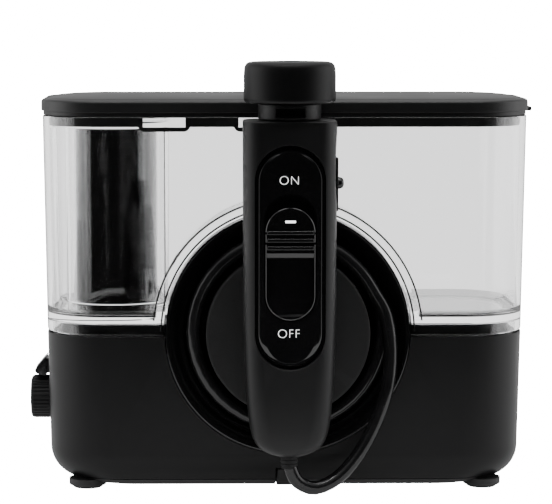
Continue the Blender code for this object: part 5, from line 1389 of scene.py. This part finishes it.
def fluted_dial():
    """A dial with rounded flutes, narrower at its outer edge."""
    rings = []
    sections = (
        (7.6, 8.2, 0.0), (7.5, 8.45, 0.12), (7.1, 8.5, 0.3), (1.6, 8.5, 0.3),
        (0.8, 8.3, 0.24), (0.3, 7.9, 0.12), (0.0, 7.3, 0.0),
    )
    for along, radius, depth in sections:
        ring = []
        for step in range(216):
            turn = 2 * math.pi * step / 216
            grip = radius - depth * (0.5 + 0.5 * math.cos(FLUTES * turn))
            ring.append(axis_place((DIAL_FACE, 0, DIAL_Z), "X", grip, turn, along))
        rings.append(ring)
    return loft("fluted_dial", rings)


dial = place("fluted_dial", fluted_dial(), KNOB_SATIN)
pointer = block("pointer", (DIAL_FACE - 1, -0.45, DIAL_Z + 3.2), (DIAL_FACE + 0.5, 0.45, DIAL_Z + 7.0))
carve(dial, [rod("dial_stem", 2.0, 14.6, (DIAL_FACE + 7.2, 0, DIAL_Z), "X", 32)], "UNION")
carve(dial, [pointer])
settle(dial, "pressure_dial", "pressure_dial", sharp=30)
print("dial faces:", len(dial.data.polygons))

# %% Power button
BUTTON_TOP, BUTTON_LOW = 48.2, 40.5
BUTTON_WALL = -(HALF_WIDE - DRAFT * (BASE_TOP - BUTTON_TOP) / BASE_TOP)
BUTTON_BACK = BUTTON_WALL - 1.5


def button_section(inset):
    tip = BUTTON_BACK - 4.6 + inset
    return [
        (BUTTON_BACK, BUTTON_TOP - inset * 0.6),
        (BUTTON_BACK - 1.6 + inset, BUTTON_TOP - 1.6 - inset * 0.6),
        (tip + 0.9, BUTTON_TOP - 4.2),
        (tip + 0.3, BUTTON_TOP - 4.9),
        (tip, BUTTON_TOP - 5.6),
        (tip + 0.2, BUTTON_TOP - 6.3),
        (tip + 0.7, BUTTON_TOP - 6.9 + inset * 0.3),
        (tip + 1.6, BUTTON_LOW + 0.35 + inset * 0.5),
        (BUTTON_BACK, BUTTON_LOW + inset * 0.6),
    ]


button_rings = [
    [at(x, y, z) for x, z in button_section(inset)]
    for y, inset in ((-6.0, 0.5), (-5.85, 0.15), (-5.5, 0.0), (5.5, 0.0), (5.85, 0.15), (6.0, 0.5))
]
button = place("power_wedge", loft("power_wedge", button_rings), BUTTON_GLOSS)
plunger_low = (BUTTON_BACK - 0.8, -4.8, BUTTON_LOW + 1)
plunger_high = (BUTTON_WALL + 4.4, 4.8, BUTTON_TOP - 1)
carve(button, [block("plunger", plunger_low, plunger_high)], "UNION")
settle(button, "power_button", "power_button", sharp=35)
print("power button faces:", len(button.data.polygons))

# %% [markdown]
# ## The strain relief
# A soft boot keeps the hose from kinking where it enters the handle. It is a taper with rings cut round it,
# so it bends a little at each ring. The turned profile has those rings in it.

# %% Strain relief
relief = [(2.0, 9.0), (4.3, 9.0), (4.6, 8.7), (4.6, 6.4), (3.4, 6.4), (3.4, 0.4)]
for ring in range(3):
    low, wide = -0.2 - 1.5 * ring, 3.5 - 0.18 * ring
    relief += [(wide, low), (wide, low - 0.8), (wide - 0.35, low - 1.0), (wide - 0.35, low - 1.3)]
relief += [(2.85, -4.9), (2.66, -4.9), (2.66, 6.0), (2.0, 6.4)]
relief_mesh = turned("strain_relief", relief, (BAY_X, HANDLE_Y, HANDLE_LOW), "Z", 48, ring=True)
relief_boot = place("strain_relief", relief_mesh, RUBBER)
settle(relief_boot, "handle", "hose_strain_relief", sharp=40)
print("strain relief faces:", len(relief_boot.data.polygons))

# %% [markdown]
# ## Finishes for what is inside
# The pump, its gears, the battery, the valves and the spare tips are only seen when the object is opened or
# drawn apart. They keep the plain model's shapes, and each takes the finish of what it would be made of.

# %% Inner finishes
INSIDE = {
    STEEL: ["gear_axle", "lid_hinge_pin", "steel_dock_plate", "dock_magnet", "connecting_rod"],
    MOTOR_CAN: ["pump_motor", "charge_socket"],
    NYLON: [
        "drive_gear", "motor_pinion", "pump_piston", "valve_spool", "inlet_check_valve", "outlet_check_valve",
    ],
    TIP_WHITE: ["tip_socket", "jet_tip_1", "jet_tip_2", "jet_tip_3", "jet_tip_4"],
    CELL_WRAP: ["battery_cell_1", "battery_cell_2"],
    BOARD: ["control_board"],
    UNDERSIDE: [
        "battery_cradle", "pump_bracket", "pump_cylinder", "pressure_valve", "power_switch", "magnet_holder",
    ],
    GUIDE_BLACK: ["handle_valve_block", "hose_guide", "hose_gland", "inlet_nipple"],
    RUBBER: ["outlet_tube", "hose_feed_tube", "handle_lower_tube", "handle_upper_tube", "reservoir_valve"],
}
for finish, names in INSIDE.items():
    for name in names:
        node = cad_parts[name]
        while len(node.material_slots) < 1:
            node.data.materials.append(None)
        for slot in node.material_slots:
            slot.link = "OBJECT"
            slot.material = finish
print("inner pieces finished:", sum(len(names) for names in INSIDE.values()))

# %% [markdown]
# ## The room round the object
# Shiny black plastic shows the room more than itself. In a product studio the walls and the ceiling are
# white, and the side behind the camera is dark. So the world is white, with a dark patch on the camera's
# side whose edge is crisp. The camera sees plain white behind the object, and light that comes through the
# clear plastic sees a brighter room, so the reservoir stays pale. The patch is worked out from the direction
# of each ray, so it needs no picture.

# %% World
DARK_HALF_ANGLE, DARK_EDGE = 61.0, 3.0
BACKDROP_WHITE, BEHIND_GLASS = 20.0, 2.3
WALL_WHITE, CEILING_WHITE, FRONT_DARK = 0.9, 0.75, 0.012


def studio_world():
    world = bpy.data.worlds.new("white_studio")
    bpy.context.scene.world = world
    world.use_nodes = True
    tree = world.node_tree
    tree.nodes.clear()
    direction = add_node(tree, "ShaderNodeTexCoord")
    parts = add_node(tree, "ShaderNodeSeparateXYZ")
    tree.links.new(direction.outputs["Generated"], parts.inputs["Vector"])
    rays = add_node(tree, "ShaderNodeLightPath")
    backward = maths(tree, "MULTIPLY", parts.outputs["Y"], -1.0)
    away = maths(tree, "ABSOLUTE", maths(tree, "ARCTAN2", parts.outputs["X"], backward))
    first, last = math.radians(DARK_HALF_ANGLE - DARK_EDGE), math.radians(DARK_HALF_ANGLE + DARK_EDGE)
    walls = spread(tree, away, first, last, FRONT_DARK, WALL_WHITE, interpolation_type="SMOOTHSTEP")
    ceiling = spread(tree, parts.outputs["Z"], 0.35, 0.9, 0.0, CEILING_WHITE, interpolation_type="SMOOTHSTEP")
    through = maths(tree, "MULTIPLY_ADD", rays.outputs["Is Transmission Ray"], BEHIND_GLASS, 1.0)
    strength = maths(tree, "MULTIPLY", through, maths(tree, "MAXIMUM", walls, ceiling))
    room = add_node(tree, "ShaderNodeBackground")
    plain = add_node(tree, "ShaderNodeBackground", Strength=BACKDROP_WHITE, Color=(1.0, 1.0, 1.0, 1.0))
    mix = add_node(tree, "ShaderNodeMixShader")
    out = add_node(tree, "ShaderNodeOutputWorld")
    tree.links.new(strength, room.inputs["Strength"])
    tree.links.new(rays.outputs["Is Camera Ray"], mix.inputs["Fac"])
    tree.links.new(room.outputs[0], mix.inputs[1])
    tree.links.new(plain.outputs[0], mix.inputs[2])
    tree.links.new(mix.outputs[0], out.inputs["Surface"])
    return world


print("world:", studio_world().name)

# %% [markdown]
# ## The floor and the lights
# The floor is a very pale sweep that glows a little, so that it meets the background without a line and the
# feet still get a faint contact shadow. Three large soft lights, one overhead and one on each side, put
# long gentle gradients on the corners, and a narrow strip above the camera draws a line along the lid's
# rim.

# %% Floor and lights
floor_mesh = bpy.data.meshes.new("studio_floor")
FLOOR_SIDE, FLOOR_FRONT, FLOOR_REAR, FLOOR_Z = 3.0, -0.2, 0.4, -0.0003
corners = [
    (-FLOOR_SIDE, FLOOR_FRONT, FLOOR_Z), (FLOOR_SIDE, FLOOR_FRONT, FLOOR_Z),
    (FLOOR_SIDE, FLOOR_REAR, FLOOR_Z), (-FLOOR_SIDE, FLOOR_REAR, FLOOR_Z),
]
floor_mesh.from_pydata(corners, [], [(0, 1, 2, 3)])
FLOOR_WHITE, floor_tree, floor_shader = new_material("studio_floor")
floor_shader.inputs["Base Color"].default_value = (0.9, 0.9, 0.9, 1.0)
floor_shader.inputs["Roughness"].default_value = 0.9
floor_shader.inputs["Emission Color"].default_value = (1.0, 1.0, 1.0, 1.0)
rays = floor_tree.nodes.new("ShaderNodeLightPath")
glow = maths(floor_tree, "MULTIPLY_ADD", rays.outputs["Is Camera Ray"], BACKDROP_WHITE, 0.3)
floor_tree.links.new(glow, floor_shader.inputs["Emission Strength"])
floor = place("studio_floor", floor_mesh, FLOOR_WHITE)
floor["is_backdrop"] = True


def soft_light(name, position, target, wide, tall, power):
    data = bpy.data.lights.new(name, "AREA")
    data.shape, data.size, data.size_y, data.energy = "RECTANGLE", wide, tall, power
    lamp = bpy.data.objects.new(name, data)
    bpy.context.scene.collection.objects.link(lamp)
    lamp.location = position
    lamp.rotation_euler = (Vector(target) - Vector(position)).to_track_quat("-Z", "Y").to_euler()
    return lamp


aim = (0.0, 0.0, 0.08)
soft_light("overhead", (0.0, 0.1, 1.1), aim, 1.2, 0.9, 5.0)
soft_light("left_wall", (-1.1, 0.1, 0.3), aim, 0.9, 0.8, 3.0)
soft_light("right_wall", (1.1, 0.1, 0.3), aim, 0.9, 0.8, 3.0)
soft_light("top_strip", (0.0, -0.4, 0.95), aim, 0.9, 0.04, 2.5)

# %% [markdown]
# ## The size
# The dressed model's size is measured here and printed.

# %% Sizes and the end
low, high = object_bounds()
print("size in mm:", [round((b - a) / MM, 2) for a, b in zip(low, high)])
